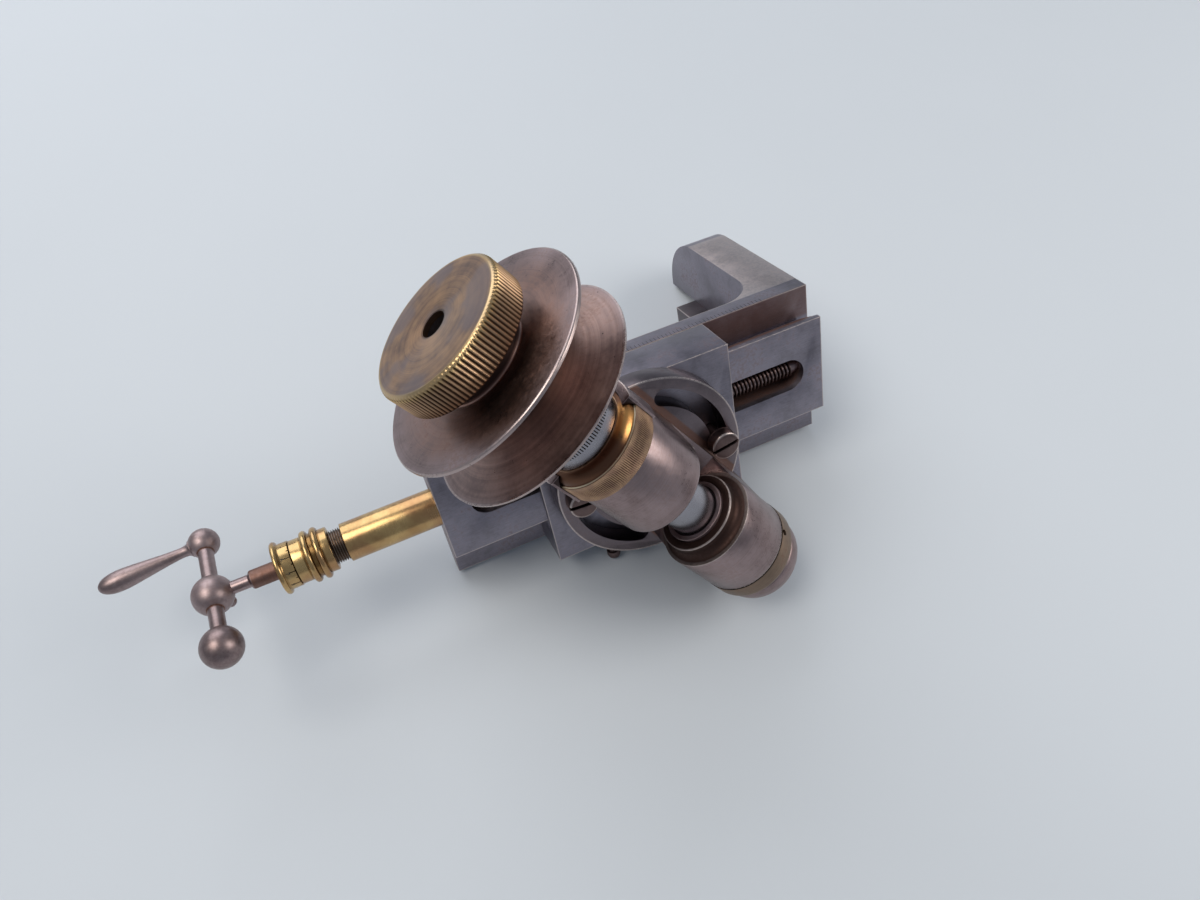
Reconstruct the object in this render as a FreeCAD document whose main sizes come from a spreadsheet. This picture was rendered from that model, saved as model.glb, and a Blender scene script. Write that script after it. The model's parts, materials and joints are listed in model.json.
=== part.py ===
import FreeCAD, Part
import math
import os
import Sketcher

from FreeCAD import Placement, Rotation, Vector

# Lathe milling attachment, in millimetres.
# The slide frame has X along the bed, Y to the rear of the bed and Z up across the bed.
# Its origin is at the left end of the bed, on the front face, at half the bed's height.
# The whole attachment then leans back about X, as it rests on the bench.

SIZES = {
    # bed and its slot
    "bed_length": 97.2,
    "bed_height": 25.3,
    "bed_depth": 10.3,
    "bed_edge": 1.2,
    "dovetail_angle": 60,
    "slot_start": 7,
    "slot_inset": 5.2,
    "slot_width": 8.3,
    "slot_depth": 8.2,
    "screw_depth": 3.8,
    # bracket, arm and clamp block
    "bracket_overhang": 3.1,
    "bracket_top": 15.85,
    "bracket_bottom": 25.4,
    "bracket_thick": 4.65,
    "arm_width": 10.8,
    "arm_reach": 49.3,
    "arm_height": 16.4,
    "arm_round": 15.8,
    "arm_fillet": 8.9,
    "block_width": 16.8,
    "block_reach": 35.6,
    "block_height": 7.4,
    "block_bevel": 1,
    # saddle and gib
    "saddle_length": 49.4,
    "saddle_centre": 47.2,
    "saddle_wall": 1.6,
    "saddle_top": 15.85,
    "saddle_bottom": 24.2,
    "gib_thick": 2,
    "slide_gap": 0.06,
    # swivel flange
    "swivel_height": 4.6,
    "swivel_angle": 33.6,
    "flange_radius": 22.55,
    "flange_thick": 5.05,
    "arc_radius": 17.7,
    "arc_width": 4.24,
    "arc_half_angle": 38.3,
    # spindle housings
    "centre_height": 18.4,
    "front_radius": 10.8,
    "front_start": 23.3,
    "front_end": 6.6,
    "front_round": 1.2,
    "guard_radius": 11.95,
    "guard_start": 31.2,
    "guard_rise": 4,
    "guard_root": 8,
    "guard_gap": 0.1,
    "guard_mouth_gap": 0.6,
    "rear_radius": 11.2,
    "rear_start": 9.6,
    "rear_end": 23.6,
    "boss_radius": 9,
    "boss_length": 3.4,
    "boss_cove": 1.8,
    "bridge_height": 2.3,
    "bush_radius": 7.05,
    "bush_stand": 0.7,
    "running_gap": 0.03,
    # spindle, pulley and rings
    "spindle_radius": 5.6,
    "spindle_start": 60.6,
    "nose_end": 34.6,
    "nose_radius": 9,
    "nose_swell": 10.4,
    "collet_radius": 4,
    "collet_depth": 22,
    "bar_radius": 3.3,
    "bar_hole": 2.65,
    "pulley_radius": 23,
    "pulley_front": 58.3,
    "pulley_rear": 45.7,
    "pulley_root": 11.5,
    "pulley_rim": 0.7,
    "pulley_hub": 9.4,
    "collar_radius": 8.8,
    "collar_end": 31.5,
    "ring_radius": 11.4,
    "ring_band": 5.6,
    "ring_neck": 2.4,
    "end_ring_radius": 11.3,
    "end_ring_width": 5.1,
    "notch_radius": 0.55,
    "notch_angle": 54,
    # draw knob
    "knob_radius": 14.6,
    "knob_front": 68.7,
    "knob_rear": 61.7,
    "knob_boss": 6.4,
    # feed screw
    "thread_radius": 2.4,
    "shaft_radius": 2.05,
    "neck_radius": 1.4,
    "journal_radius": 1.6,
    "journal_length": 3.4,
    "collar_thick": 1.4,
    "thrust_radius": 2.9,
    "tube_radius": 4.3,
    "tube_length": 20.5,
    "spigot_radius": 3.2,
    "spigot_length": 5.8,
    "bush_thread": 3.7,
    "gland_end": 23.3,
    "gland_start": 31.4,
    "gland_radius": 4.85,
    "bead_radius": 5.8,
    "bead_width": 1.5,
    "gland_wall": 1.8,
    "bush_grip": 5.5,
    "dial_start": 35,
    "dial_radius": 5.05,
    "dial_flange": 5.85,
    "dial_flange_width": 1.1,
    "step_start": 40.8,
    # ball handle
    "handle_station": 48.9,
    "handle_angle": 11.6,
    "hub_ball": 4.32,
    "small_ball": 3.35,
    "large_ball": 4.33,
    "small_arm": 15.3,
    "large_arm": 13.7,
    "bar_thick": 1.65,
    "grip_length": 22.6,
    "grip_radius": 2.35,
    "grip_neck": 1.15,
    "grip_tilt": 4.5,
    "grip_foot": 1.9,
    "grip_spigot": 1,
    "hub_blind": 1.5,
    # screws
    "clamp_head": 3.45,
    "clamp_head_height": 2.5,
    "clamp_shank": 1.75,
    "washer_thick": 0.5,
    "driver_slot": 0.8,
    "pivot_head": 4.3,
    "pivot_head_height": 1.8,
    "pivot_shoulder": 3,
    "pivot_thread": 2.4,
    "nut_length": 20,
    "nut_screw_spacing": 6.5,
    "bed_screw_inset": 4,
    "bed_screw_height": 5.2,
    "bed_screw_radius": 1.25,
    "gib_screw_spacing": 10.9,
    "gib_screw_depth": 0.7,
    "gib_screw_radius": 1,
    "gib_screw_head": 1.65,
    "gib_screw_drop": 8.1,
    "locknut_width": 4,
    "locknut_thick": 1.5,
    "small_head": 2.3,
    "small_head_height": 1.7,
    "bed_screw_grip": 5,
    "block_screw_grip": 6,
    "nut_screw_radius": 1,
    "nut_screw_head": 1.9,
    "nut_head_height": 0.8,
    "nut_tap": 1.2,
    "grub_radius": 0.7,
    "hub_screw_radius": 0.75,
    "hub_screw_head": 1.1,
    "hub_screw_tilt": 30,
    # how the attachment lies
    "lean_angle": 26,
}

doc = FreeCAD.newDocument("lathe_milling_attachment")


class Size:
    """A size of the sheet, or a sum of such sizes, that knows its number and its formula."""

    def __init__(self, value, text):
        self.value = value
        self.text = text

    def __add__(self, other):
        return joined(self, "+", other)

    def __radd__(self, other):
        return joined(other, "+", self)

    def __sub__(self, other):
        return joined(self, "-", other)

    def __rsub__(self, other):
        return joined(other, "-", self)

    def __mul__(self, other):
        return joined(self, "*", other)

    def __rmul__(self, other):
        return joined(other, "*", self)

    def __truediv__(self, other):
        return joined(self, "/", other)

    def __rtruediv__(self, other):
        return joined(other, "/", self)

    def __neg__(self):
        return joined(0, "-", self)


def as_size(item):
    if isinstance(item, Size):
        return item
    return Size(float(item), f"{item}")


def joined(first, sign, second):
    first = as_size(first)
    second = as_size(second)
    values = {
        "+": lambda: first.value + second.value,
        "-": lambda: first.value - second.value,
        "*": lambda: first.value * second.value,
        "/": lambda: first.value / second.value,
    }
    return Size(values[sign](), f"({first.text} {sign} {second.text})")


def cosine(angle):
    angle = as_size(angle)
    return Size(math.cos(math.radians(angle.value)), f"cos({angle.text})")


def sine(angle):
    angle = as_size(angle)
    return Size(math.sin(math.radians(angle.value)), f"sin({angle.text})")


def square_root(item):
    return Size(math.sqrt(item.value), f"sqrt({item.text})")


def make_sheet():
    sheet = doc.addObject("Spreadsheet::Sheet", "Sizes")
    for row, (alias, value) in enumerate(SIZES.items(), start=1):
        sheet.set(f"A{row}", alias)
        sheet.set(f"B{row}", str(value))
        sheet.setAlias(f"B{row}", alias)
    doc.recompute()
    return {alias: Size(float(value), f"Sizes.{alias}") for alias, value in SIZES.items()}


size = make_sheet()


def bind(thing, path, item):
    """Tie a property to the sheet through its formula."""
    thing.setExpression(path, as_size(item).text)


# places that several pieces share

half_bed = size["bed_height"] / 2
slot_end = size["bed_length"] - size["slot_inset"]
bracket_length = size["bed_length"] + size["bracket_overhang"]
neck_slope = cosine(size["dovetail_angle"]) / sine(size["dovetail_angle"])
bed_neck = half_bed - (size["bed_depth"] - size["bed_edge"]) * neck_slope
bracket_rear = size["bed_depth"] + size["bracket_thick"]
arm_inner = bracket_length - size["arm_width"]
arm_bottom = size["bracket_top"] - size["arm_height"]
gib_rise = size["gib_thick"] / sine(size["dovetail_angle"])
saddle_face = size["saddle_wall"] + size["slide_gap"]
thread_bore = size["thread_radius"] + size["slide_gap"]
nut_half = size["slot_width"] / 2 - size["slide_gap"] * 2
arc_inner = size["arc_radius"] - size["arc_width"] / 2
arc_outer = size["arc_radius"] + size["arc_width"] / 2
bridge_top = size["flange_thick"] + size["bridge_height"]
head_seat = bridge_top - size["pivot_head_height"]
spindle_bore = size["bar_radius"] + size["running_gap"]
nose_start = size["rear_end"] + size["end_ring_width"]
block_bottom = arm_bottom - size["block_height"]
arm_end = bracket_rear + size["arm_reach"]
saddle_rear = size["bed_depth"] - size["slide_gap"] * 2
flank_gap = size["slide_gap"] * 2
gib_front = size["bed_edge"] / 3
gib_rear = size["bed_depth"] - 0.7
clamp_seat = size["flange_thick"] + size["washer_thick"] + size["running_gap"] * 2
pivot_seat = head_seat + size["running_gap"] + 0.05
bush_end = size["rear_end"] + size["end_ring_width"] * 0.66
ring_mouth = size["spindle_radius"] + 0.4
ring_foot = size["collar_radius"] + 0.5
ring_start = -size["front_start"] - size["ring_band"]
web_half = size["front_radius"]
web_foot = square_root(size["flange_radius"] * size["flange_radius"] - web_half * web_half)
bush_bore = size["spindle_radius"] + size["running_gap"]
hub_seat = size["hub_ball"] - 0.15
shaft_bore = size["shaft_radius"] + size["running_gap"]
collar_start = size["gland_wall"] + 0.1 - size["gland_start"]
bush_start = collar_start + size["collar_thick"] + 0.1
tube_step = size["bush_grip"] - size["tube_length"]
cove = size["boss_cove"]
hub_front = 0.1 - size["spindle_start"]
grub_station = (hub_front - size["pulley_front"]) / 2
grip_seat = size["small_ball"] - 0.6
grip_angle = 180 + size["grip_tilt"]


# the frames that the pieces are drawn in

lean = Placement(Vector(0, 0, 0), Rotation(Vector(1, 0, 0), -SIZES["lean_angle"]))
slide_frame = lean


def slide_place(x, y, z, rotation=Rotation()):
    return slide_frame.multiply(Placement(Vector(x, y, z), rotation))


swing = math.radians(SIZES["swivel_angle"])
head_rotation = Rotation(
    Vector(math.cos(swing), 0, math.sin(swing)),
    Vector(0, -1, 0),
    Vector(math.sin(swing), 0, -math.cos(swing)),
    "ZXY",
)
head_frame = slide_place(
    SIZES["saddle_centre"], -(saddle_face + size["running_gap"]).value, -SIZES["swivel_height"], head_rotation
)
spindle_frame = head_frame.multiply(Placement(Vector(0, SIZES["centre_height"], 0), Rotation()))
feed_frame = slide_place(0, SIZES["screw_depth"], 0, Rotation(Vector(0, 1, 0), 90))
handle_frame = slide_place(
    -SIZES["handle_station"], SIZES["screw_depth"], 0, Rotation(Vector(1, 0, 0), SIZES["handle_angle"] - 90)
)


# sketches

def plane(body, role):
    for feature in body.Origin.OriginFeatures:
        if feature.Role == role:
            return feature
    raise RuntimeError(f"no plane {role}")


def new_sketch(body, name, role, offset=0):
    """An empty sketch on one of the body's own planes, moved along the plane's normal."""
    sketch = body.newObject("Sketcher::SketchObject", f"{body.Name}_{name}")
    sketch.AttachmentSupport = (plane(body, role), [""])
    sketch.MapMode = "FlatFace"
    offset = as_size(offset)
    sketch.AttachmentOffset = Placement(Vector(0, 0, offset.value), Rotation())
    bind(sketch, "AttachmentOffset.Base.z", offset)
    return sketch


def dimension(sketch, kind, item, *where):
    """One driving constraint, tied to the sheet."""
    item = as_size(item)
    index = sketch.addConstraint(Sketcher.Constraint(kind, *where, item.value))
    bind(sketch, f"Constraints[{index}]", item)


def pin_point(sketch, geometry, point, x, y):
    dimension(sketch, "DistanceX", x, -1, 1, geometry, point)
    dimension(sketch, "DistanceY", y, -1, 1, geometry, point)


def add_circle(sketch, x, y, radius):
    centre = Vector(as_size(x).value, as_size(y).value, 0)
    ring = Part.Circle(centre, Vector(0, 0, 1), as_size(radius).value)
    index = sketch.addGeometry(ring, False)
    dimension(sketch, "Radius", radius, index)
    pin_point(sketch, index, 3, x, y)


def arc_edge(start, end, radius):
    """A short arc from start to end: a positive radius turns left, a negative one right."""
    chord = end - start
    half = chord.Length / 2
    middle = (start + end) / 2
    rise = math.sqrt(max(radius * radius - half * half, 0))
    normal = Vector(-chord.y, chord.x, 0).normalize()
    centre = middle + normal * math.copysign(rise, radius)
    first, last = (start, end) if radius > 0 else (end, start)
    angles = [math.atan2((p - centre).y, (p - centre).x) for p in (first, last)]
    circle = Part.Circle(centre, Vector(0, 0, 1), abs(radius))
    return Part.ArcOfCircle(circle, angles[0], angles[1])


def add_outline(sketch, corners):
    """A closed outline. A corner is (x, y), or (x, y, radius) where an arc arrives at it."""
    count = len(corners)
    points = [Vector(as_size(c[0]).value, as_size(c[1]).value, 0) for c in corners]
    edges = []
    for number in range(count):
        after = (number + 1) % count
        if len(corners[after]) == 3:
            radius = as_size(corners[after][2])
            index = sketch.addGeometry(arc_edge(points[number], points[after], radius.value), False)
            left = radius.value > 0
            edges.append((index, 1 if left else 2, 2 if left else 1))
            dimension(sketch, "Radius", radius if left else -radius, index)
        else:
            index = sketch.addGeometry(Part.LineSegment(points[number], points[after]), False)
            edges.append((index, 1, 2))
    for number in range(count):
        index, begin, _ = edges[number]
        before, _, finish = edges[number - 1]
        sketch.addConstraint(Sketcher.Constraint("Coincident", before, finish, index, begin))
        pin_point(sketch, index, begin, corners[number][0], corners[number][1])


def rectangle(x_low, y_low, x_high, y_high):
    return [(x_low, y_low), (x_high, y_low), (x_high, y_high), (x_low, y_high)]


def long_slot(x_low, x_high, y_centre, width):
    """A slot along X with round ends, each end in two quarter turns."""
    half = width / 2
    return [
        (x_low + half, y_centre - half, half),
        (x_high - half, y_centre - half),
        (x_high, y_centre, half),
        (x_high - half, y_centre + half, half),
        (x_low + half, y_centre + half),
        (x_low, y_centre, half),
    ]


def polar(radius, angle):
    return radius * cosine(angle), radius * sine(angle)


# features of a body

def new_body(name, frame):
    body = doc.addObject("PartDesign::Body", name)
    body.Label = name
    body.Placement = frame
    return body


def grown(body, feature):
    """Recompute a feature and make sure that it changed the solid the way it should."""
    before = body.Shape.Volume if not body.Shape.isNull() else 0
    body.Tip = feature
    doc.recompute()
    change = body.Shape.Volume - before
    wants_more = feature.TypeId in ("PartDesign::Pad", "PartDesign::Revolution", "PartDesign::AdditiveLoft")
    if (change <= 0) == wants_more:
        raise RuntimeError(f"{feature.Label} changed the volume by {change:.3f}")
    return feature


def pad(body, sketch, length, reverse=False):
    feature = body.newObject("PartDesign::Pad", f"{sketch.Name}_pad")
    feature.Profile = sketch
    feature.Reversed = reverse
    bind(feature, "Length", length)
    return grown(body, feature)


def pocket(body, sketch, length, reverse=False):
    feature = body.newObject("PartDesign::Pocket", f"{sketch.Name}_pocket")
    feature.Profile = sketch
    feature.Reversed = reverse
    bind(feature, "Length", length)
    return grown(body, feature)


def revolve(body, sketch, axis="V_Axis", cut=False):
    kind = "Groove" if cut else "Revolution"
    feature = body.newObject(f"PartDesign::{kind}", f"{sketch.Name}_{kind.lower()}")
    feature.Profile = sketch
    feature.ReferenceAxis = (sketch, [axis])
    feature.Angle = 360
    return grown(body, feature)


def dome(width, rise):
    """Radius of the arc that closes a round end of a given half width, level at its tip."""
    return (width * width + rise * rise) / (2 * rise)


def turned(name, frame, outline):
    """A piece turned about the Z axis of its frame, from (radius, station) corners."""
    body = new_body(name, frame)
    sketch = new_sketch(body, "profile", "XZ_Plane")
    add_outline(sketch, outline)
    revolve(body, sketch)
    return body


def tube(name, frame, inner, outer, low, high):
    return turned(name, frame, [(inner, low), (outer, low), (outer, high), (inner, high)])


def group(name, members, frame):
    """Equal pieces as one node of separate solids."""
    compound = doc.addObject("Part::Compound", name)
    compound.Label = name
    compound.Links = members
    compound.Placement = frame
    doc.recompute()
    return compound


# bed and bracket

def make_bed():
    body = new_body("bed", slide_frame)
    section = new_sketch(body, "section", "YZ_Plane")
    add_outline(section, [
        (0, -half_bed),
        (size["bed_edge"], -half_bed),
        (size["bed_depth"], -bed_neck),
        (size["bed_depth"], bed_neck),
        (size["bed_edge"], half_bed),
        (0, half_bed),
    ])
    pad(body, section, size["bed_length"])
    slot = new_sketch(body, "slot", "XZ_Plane")
    add_outline(slot, long_slot(size["slot_start"], slot_end, 0, size["slot_width"]))
    pocket(body, slot, size["slot_depth"])
    spigot = new_sketch(body, "spigot", "YZ_Plane")
    add_circle(spigot, size["screw_depth"], 0, size["spigot_radius"])
    pocket(body, spigot, size["slot_start"] + 1, reverse=True)
    journal = new_sketch(body, "journal", "YZ_Plane", slot_end - 1)
    add_circle(journal, size["screw_depth"], 0, size["journal_radius"] + size["running_gap"])
    pocket(body, journal, size["journal_length"] + 1.4, reverse=True)
    holes = new_sketch(body, "holes", "XZ_Plane", -size["bed_depth"])
    for x, z in bed_screw_places():
        add_circle(holes, x, z, size["bed_screw_radius"])
    pocket(body, holes, size["bed_screw_grip"], reverse=True)
    return body


def bed_screw_places():
    inset = size["bed_screw_inset"]
    height = size["bed_screw_height"]
    return [(x, z) for x in (inset, size["bed_length"] - inset) for z in (-height, height)]


def make_bracket():
    body = new_body("bracket", slide_frame)
    face = new_sketch(body, "plate", "XZ_Plane", -size["bed_depth"])
    add_outline(face, rectangle(0, -size["bracket_bottom"], bracket_length, size["bracket_top"]))
    pad(body, face, size["bracket_thick"], reverse=True)
    arm = new_sketch(body, "arm", "XY_Plane", arm_bottom)
    add_outline(arm, [
        (arm_inner - size["arm_fillet"], bracket_rear, -size["arm_fillet"]),
        (bracket_length, bracket_rear),
        (bracket_length, arm_end),
        (arm_inner, arm_end),
        (arm_inner, bracket_rear + size["arm_fillet"]),
    ])
    pad(body, arm, size["arm_height"])
    corner = new_sketch(body, "corner", "YZ_Plane", bracket_length)
    add_outline(corner, [
        (arm_end - size["arm_round"], size["bracket_top"], size["arm_round"]),
        (arm_end, size["bracket_top"]),
        (arm_end, size["bracket_top"] - size["arm_round"]),
    ])
    pocket(body, corner, size["arm_width"])
    heads = new_sketch(body, "heads", "XZ_Plane", -bracket_rear)
    holes = new_sketch(body, "holes", "XZ_Plane", -bracket_rear)
    for x, z in bed_screw_places():
        add_circle(heads, x, z, size["small_head"] + 0.1)
        add_circle(holes, x, z, size["bed_screw_radius"])
    pocket(body, heads, size["small_head_height"], reverse=True)
    pocket(body, holes, size["bracket_thick"], reverse=True)
    taps = new_sketch(body, "taps", "XY_Plane", arm_bottom)
    for x, y in block_screw_places():
        add_circle(taps, x, y, size["bed_screw_radius"])
    pocket(body, taps, size["block_screw_grip"], reverse=True)
    return body


def block_screw_places():
    x = bracket_length - size["arm_width"] / 2
    return [(x, bracket_rear + size["block_reach"] * share) for share in (0.25, 0.75)]


def make_clamp_block():
    body = new_body("clamp_block", slide_frame)
    profile = new_sketch(body, "profile", "YZ_Plane", bracket_length - size["block_width"])
    far = bracket_rear + size["block_reach"]
    add_outline(profile, [
        (bracket_rear, block_bottom),
        (far - size["block_bevel"], block_bottom),
        (far, block_bottom + size["block_bevel"]),
        (far, arm_bottom),
        (bracket_rear, arm_bottom),
    ])
    pad(body, profile, size["block_width"])
    heads = new_sketch(body, "heads", "XY_Plane", block_bottom)
    holes = new_sketch(body, "holes", "XY_Plane", block_bottom)
    for x, y in block_screw_places():
        add_circle(heads, x, y, size["small_head"] + 0.1)
        add_circle(holes, x, y, size["bed_screw_radius"])
    pocket(body, heads, size["small_head_height"], reverse=True)
    pocket(body, holes, size["block_height"], reverse=True)
    return body


# screws

def slotted_screw(name, place, head_radius, head_height, shank_radius, shank_length):
    """A cheese-head screw on its Z axis, with the head's seat at zero and the shank below."""
    edge = head_height * 0.12
    body = turned(name, place, [
        (0, -shank_length),
        (shank_radius, -shank_length),
        (shank_radius, 0),
        (head_radius, 0),
        (head_radius, head_height - edge),
        (head_radius - edge, head_height),
        (0, head_height),
    ])
    kerf = new_sketch(body, "kerf", "XY_Plane", head_height)
    half = size["driver_slot"] / 2
    add_outline(kerf, rectangle(-head_radius, -half, head_radius, half))
    pocket(body, kerf, head_height * 0.45)
    return body


def make_bed_screws():
    turn = Rotation(Vector(1, 0, 0), -90)
    y = (bracket_rear - size["small_head_height"]).value
    members = []
    for number, (x, z) in enumerate(bed_screw_places(), start=1):
        place = Placement(Vector(as_size(x).value, y, as_size(z).value), turn)
        members.append(slotted_screw(
            f"bed_screw_{number}", place, size["small_head"], size["small_head_height"],
            size["bed_screw_radius"], size["bracket_thick"] - size["small_head_height"] + size["bed_screw_grip"] - 0.2,
        ))
    return group("bed_screws", members, slide_frame)


def make_block_screws():
    turn = Rotation(Vector(1, 0, 0), 180)
    z = (block_bottom + size["small_head_height"]).value
    members = []
    for number, (x, y) in enumerate(block_screw_places(), start=1):
        place = Placement(Vector(as_size(x).value, as_size(y).value, z), turn)
        members.append(slotted_screw(
            f"block_screw_{number}", place, size["small_head"], size["small_head_height"],
            size["bed_screw_radius"], size["block_height"] - size["small_head_height"] + size["block_screw_grip"] - 0.2,
        ))
    return group("block_screws", members, slide_frame)


def make_clamp_screws():
    members = []
    for number, side in enumerate((-1, 1), start=1):
        place = face_place(side * SIZES["arc_radius"], clamp_seat.value)
        members.append(slotted_screw(
            f"clamp_screw_{number}", place, size["clamp_head"], size["clamp_head_height"],
            size["clamp_shank"], clamp_seat + size["saddle_wall"] - 0.1,
        ))
    return group("clamp_screws", members, slide_frame)


def make_clamp_washers():
    members = []
    for number, side in enumerate((-1, 1), start=1):
        place = face_place(side * SIZES["arc_radius"], (clamp_seat - size["washer_thick"]).value)
        members.append(tube(
            f"clamp_washer_{number}", place, size["clamp_shank"], size["clamp_head"], 0, size["washer_thick"]
        ))
    return group("clamp_washers", members, slide_frame)


def make_pivot_screw():
    place = slide_frame.multiply(face_place(0, pivot_seat.value))
    head = size["pivot_head_height"] - 0.15
    body = turned("pivot_screw", place, [
        (0, -pivot_seat - size["saddle_wall"] + 0.1),
        (size["pivot_thread"], -pivot_seat - size["saddle_wall"] + 0.1),
        (size["pivot_thread"], -pivot_seat),
        (size["pivot_shoulder"], -pivot_seat),
        (size["pivot_shoulder"], 0),
        (size["pivot_head"], 0),
        (size["pivot_head"], head),
        (0, head),
    ])
    kerf = new_sketch(body, "kerf", "XY_Plane", head)
    half = size["driver_slot"] / 2
    add_outline(kerf, rectangle(-size["pivot_head"], -half, size["pivot_head"], half))
    pocket(body, kerf, head / 2)
    return body


def face_place(x, out):
    """A place on the saddle's face, level with the swivel, with Z pointing out to the front."""
    origin = Vector(SIZES["saddle_centre"] + x, -saddle_face.value - out, -SIZES["swivel_height"])
    return Placement(origin, Rotation(Vector(1, 0, 0), 90))


# saddle, gib and feed nut

def make_saddle():
    body = new_body("saddle", slide_frame)
    start = size["saddle_centre"] - size["saddle_length"] / 2
    section = new_sketch(body, "section", "YZ_Plane", start)
    add_outline(section, [
        (-saddle_face, -size["saddle_bottom"]),
        (saddle_rear, -size["saddle_bottom"]),
        (saddle_rear, gib_under(saddle_rear)),
        (gib_front, gib_under(gib_front)),
        (-size["slide_gap"], gib_under(gib_front)),
        (-size["slide_gap"], half_bed + flank_gap),
        (size["bed_edge"], half_bed + flank_gap),
        (saddle_rear, half_bed + flank_gap - (saddle_rear - size["bed_edge"]) * neck_slope),
        (saddle_rear, size["saddle_top"]),
        (-saddle_face, size["saddle_top"]),
    ])
    pad(body, section, size["saddle_length"])
    holes = new_sketch(body, "holes", "XZ_Plane", saddle_face)
    centre = size["saddle_centre"]
    for side in (-1, 1):
        add_circle(holes, centre + side * size["arc_radius"], -size["swivel_height"], size["clamp_shank"])
        add_circle(holes, centre + side * size["nut_screw_spacing"], 0, size["nut_screw_radius"])
    add_circle(holes, centre, -size["swivel_height"], size["pivot_thread"])
    pocket(body, holes, size["saddle_wall"])
    taps = new_sketch(body, "taps", "XY_Plane", -size["saddle_bottom"])
    for side in (-1, 1):
        add_circle(taps, centre + side * size["gib_screw_spacing"], size["gib_screw_depth"], size["gib_screw_radius"])
    pocket(body, taps, size["saddle_bottom"] + gib_under(gib_front) + 1, reverse=True)
    sinks = new_sketch(body, "sinks", "XZ_Plane", saddle_face)
    for side in (-1, 1):
        add_circle(sinks, centre + side * size["nut_screw_spacing"], 0, size["nut_screw_head"])
    pocket(body, sinks, size["nut_head_height"])
    return body


def gib_over(y):
    """Height of the gib's upper flank, just under the bed's lower flank."""
    return -half_bed - flank_gap + (y - size["bed_edge"]) * neck_slope


def gib_under(y):
    return gib_over(y) - gib_rise


def make_gib_strip():
    body = new_body("gib_strip", slide_frame)
    start = size["saddle_centre"] - size["saddle_length"] / 2
    section = new_sketch(body, "section", "YZ_Plane", start)
    add_outline(section, [
        (gib_front, gib_under(gib_front)),
        (gib_rear, gib_under(gib_rear)),
        (gib_rear, gib_over(gib_rear)),
        (gib_front, gib_over(gib_front)),
    ])
    pad(body, section, size["saddle_length"])
    return body


def gib_screw_place(side):
    x = SIZES["saddle_centre"] + side * SIZES["gib_screw_spacing"]
    origin = Vector(x, SIZES["gib_screw_depth"], -SIZES["saddle_bottom"])
    return Placement(origin, Rotation(Vector(1, 0, 0), 180))


def make_gib_screws():
    head = size["gib_screw_head"]
    drop = size["gib_screw_drop"]
    inner = size["saddle_bottom"] + gib_under(gib_front)
    members = []
    for number, side in enumerate((-1, 1), start=1):
        members.append(turned(f"gib_screw_{number}", gib_screw_place(side), [
            (0, -inner),
            (size["gib_screw_radius"], -inner),
            (size["gib_screw_radius"], drop - head * 1.6),
            (head, drop - head * 1.6),
            (head, drop - head),
            (0, drop, head),
        ]))
    return group("gib_screws", members, slide_frame)


def make_gib_locknuts():
    corner = size["locknut_width"] / 2 / cosine(30)
    members = []
    for number, side in enumerate((-1, 1), start=1):
        body = new_body(f"gib_locknut_{number}", gib_screw_place(side))
        face = new_sketch(body, "face", "XY_Plane")
        add_outline(face, [polar(corner, 60 * turn) for turn in range(6)])
        add_circle(face, 0, 0, size["gib_screw_radius"])
        pad(body, face, size["locknut_thick"])
        members.append(body)
    return group("gib_locknuts", members, slide_frame)


def make_feed_nut():
    body = new_body("feed_nut", slide_frame)
    start = size["saddle_centre"] - size["nut_length"] / 2
    section = new_sketch(body, "section", "YZ_Plane", start)
    deep = size["slot_depth"] - 0.3
    add_outline(section, rectangle(-size["slide_gap"], -nut_half, deep, nut_half))
    add_circle(section, size["screw_depth"], 0, thread_bore)
    pad(body, section, size["nut_length"])
    taps = new_sketch(body, "taps", "XZ_Plane", size["slide_gap"])
    for side in (-1, 1):
        add_circle(taps, size["saddle_centre"] + side * size["nut_screw_spacing"], 0, size["nut_screw_radius"])
    pocket(body, taps, size["nut_tap"])
    return body


def make_nut_screws():
    members = []
    for number, side in enumerate((-1, 1), start=1):
        place = Placement(
            Vector(SIZES["saddle_centre"] + side * SIZES["nut_screw_spacing"],
                   (size["nut_head_height"] - saddle_face).value, 0),
            Rotation(Vector(1, 0, 0), 90),
        )
        members.append(slotted_screw(
            f"nut_screw_{number}", place, size["nut_screw_head"], size["nut_head_height"], size["nut_screw_radius"],
            size["saddle_wall"] - size["nut_head_height"] + size["nut_tap"],
        ))
    return group("nut_screws", members, slide_frame)


# spindle head

def arc_slot(middle):
    """A round-ended slot along an arc about the swivel, centred on an angle."""
    half = size["arc_width"] / 2
    span = size["arc_half_angle"]
    low = middle - span
    high = middle + span

    def cap(angle, side):
        x, y = polar(size["arc_radius"], angle)
        return x - side * half * sine(angle), y + side * half * cosine(angle)

    return [
        polar(arc_outer, low) + (half,),
        polar(arc_outer, high) + (arc_outer,),
        cap(high, 1) + (half,),
        polar(arc_inner, high) + (half,),
        polar(arc_inner, low) + (-arc_inner,),
        cap(low, -1) + (half,),
    ]


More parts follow.
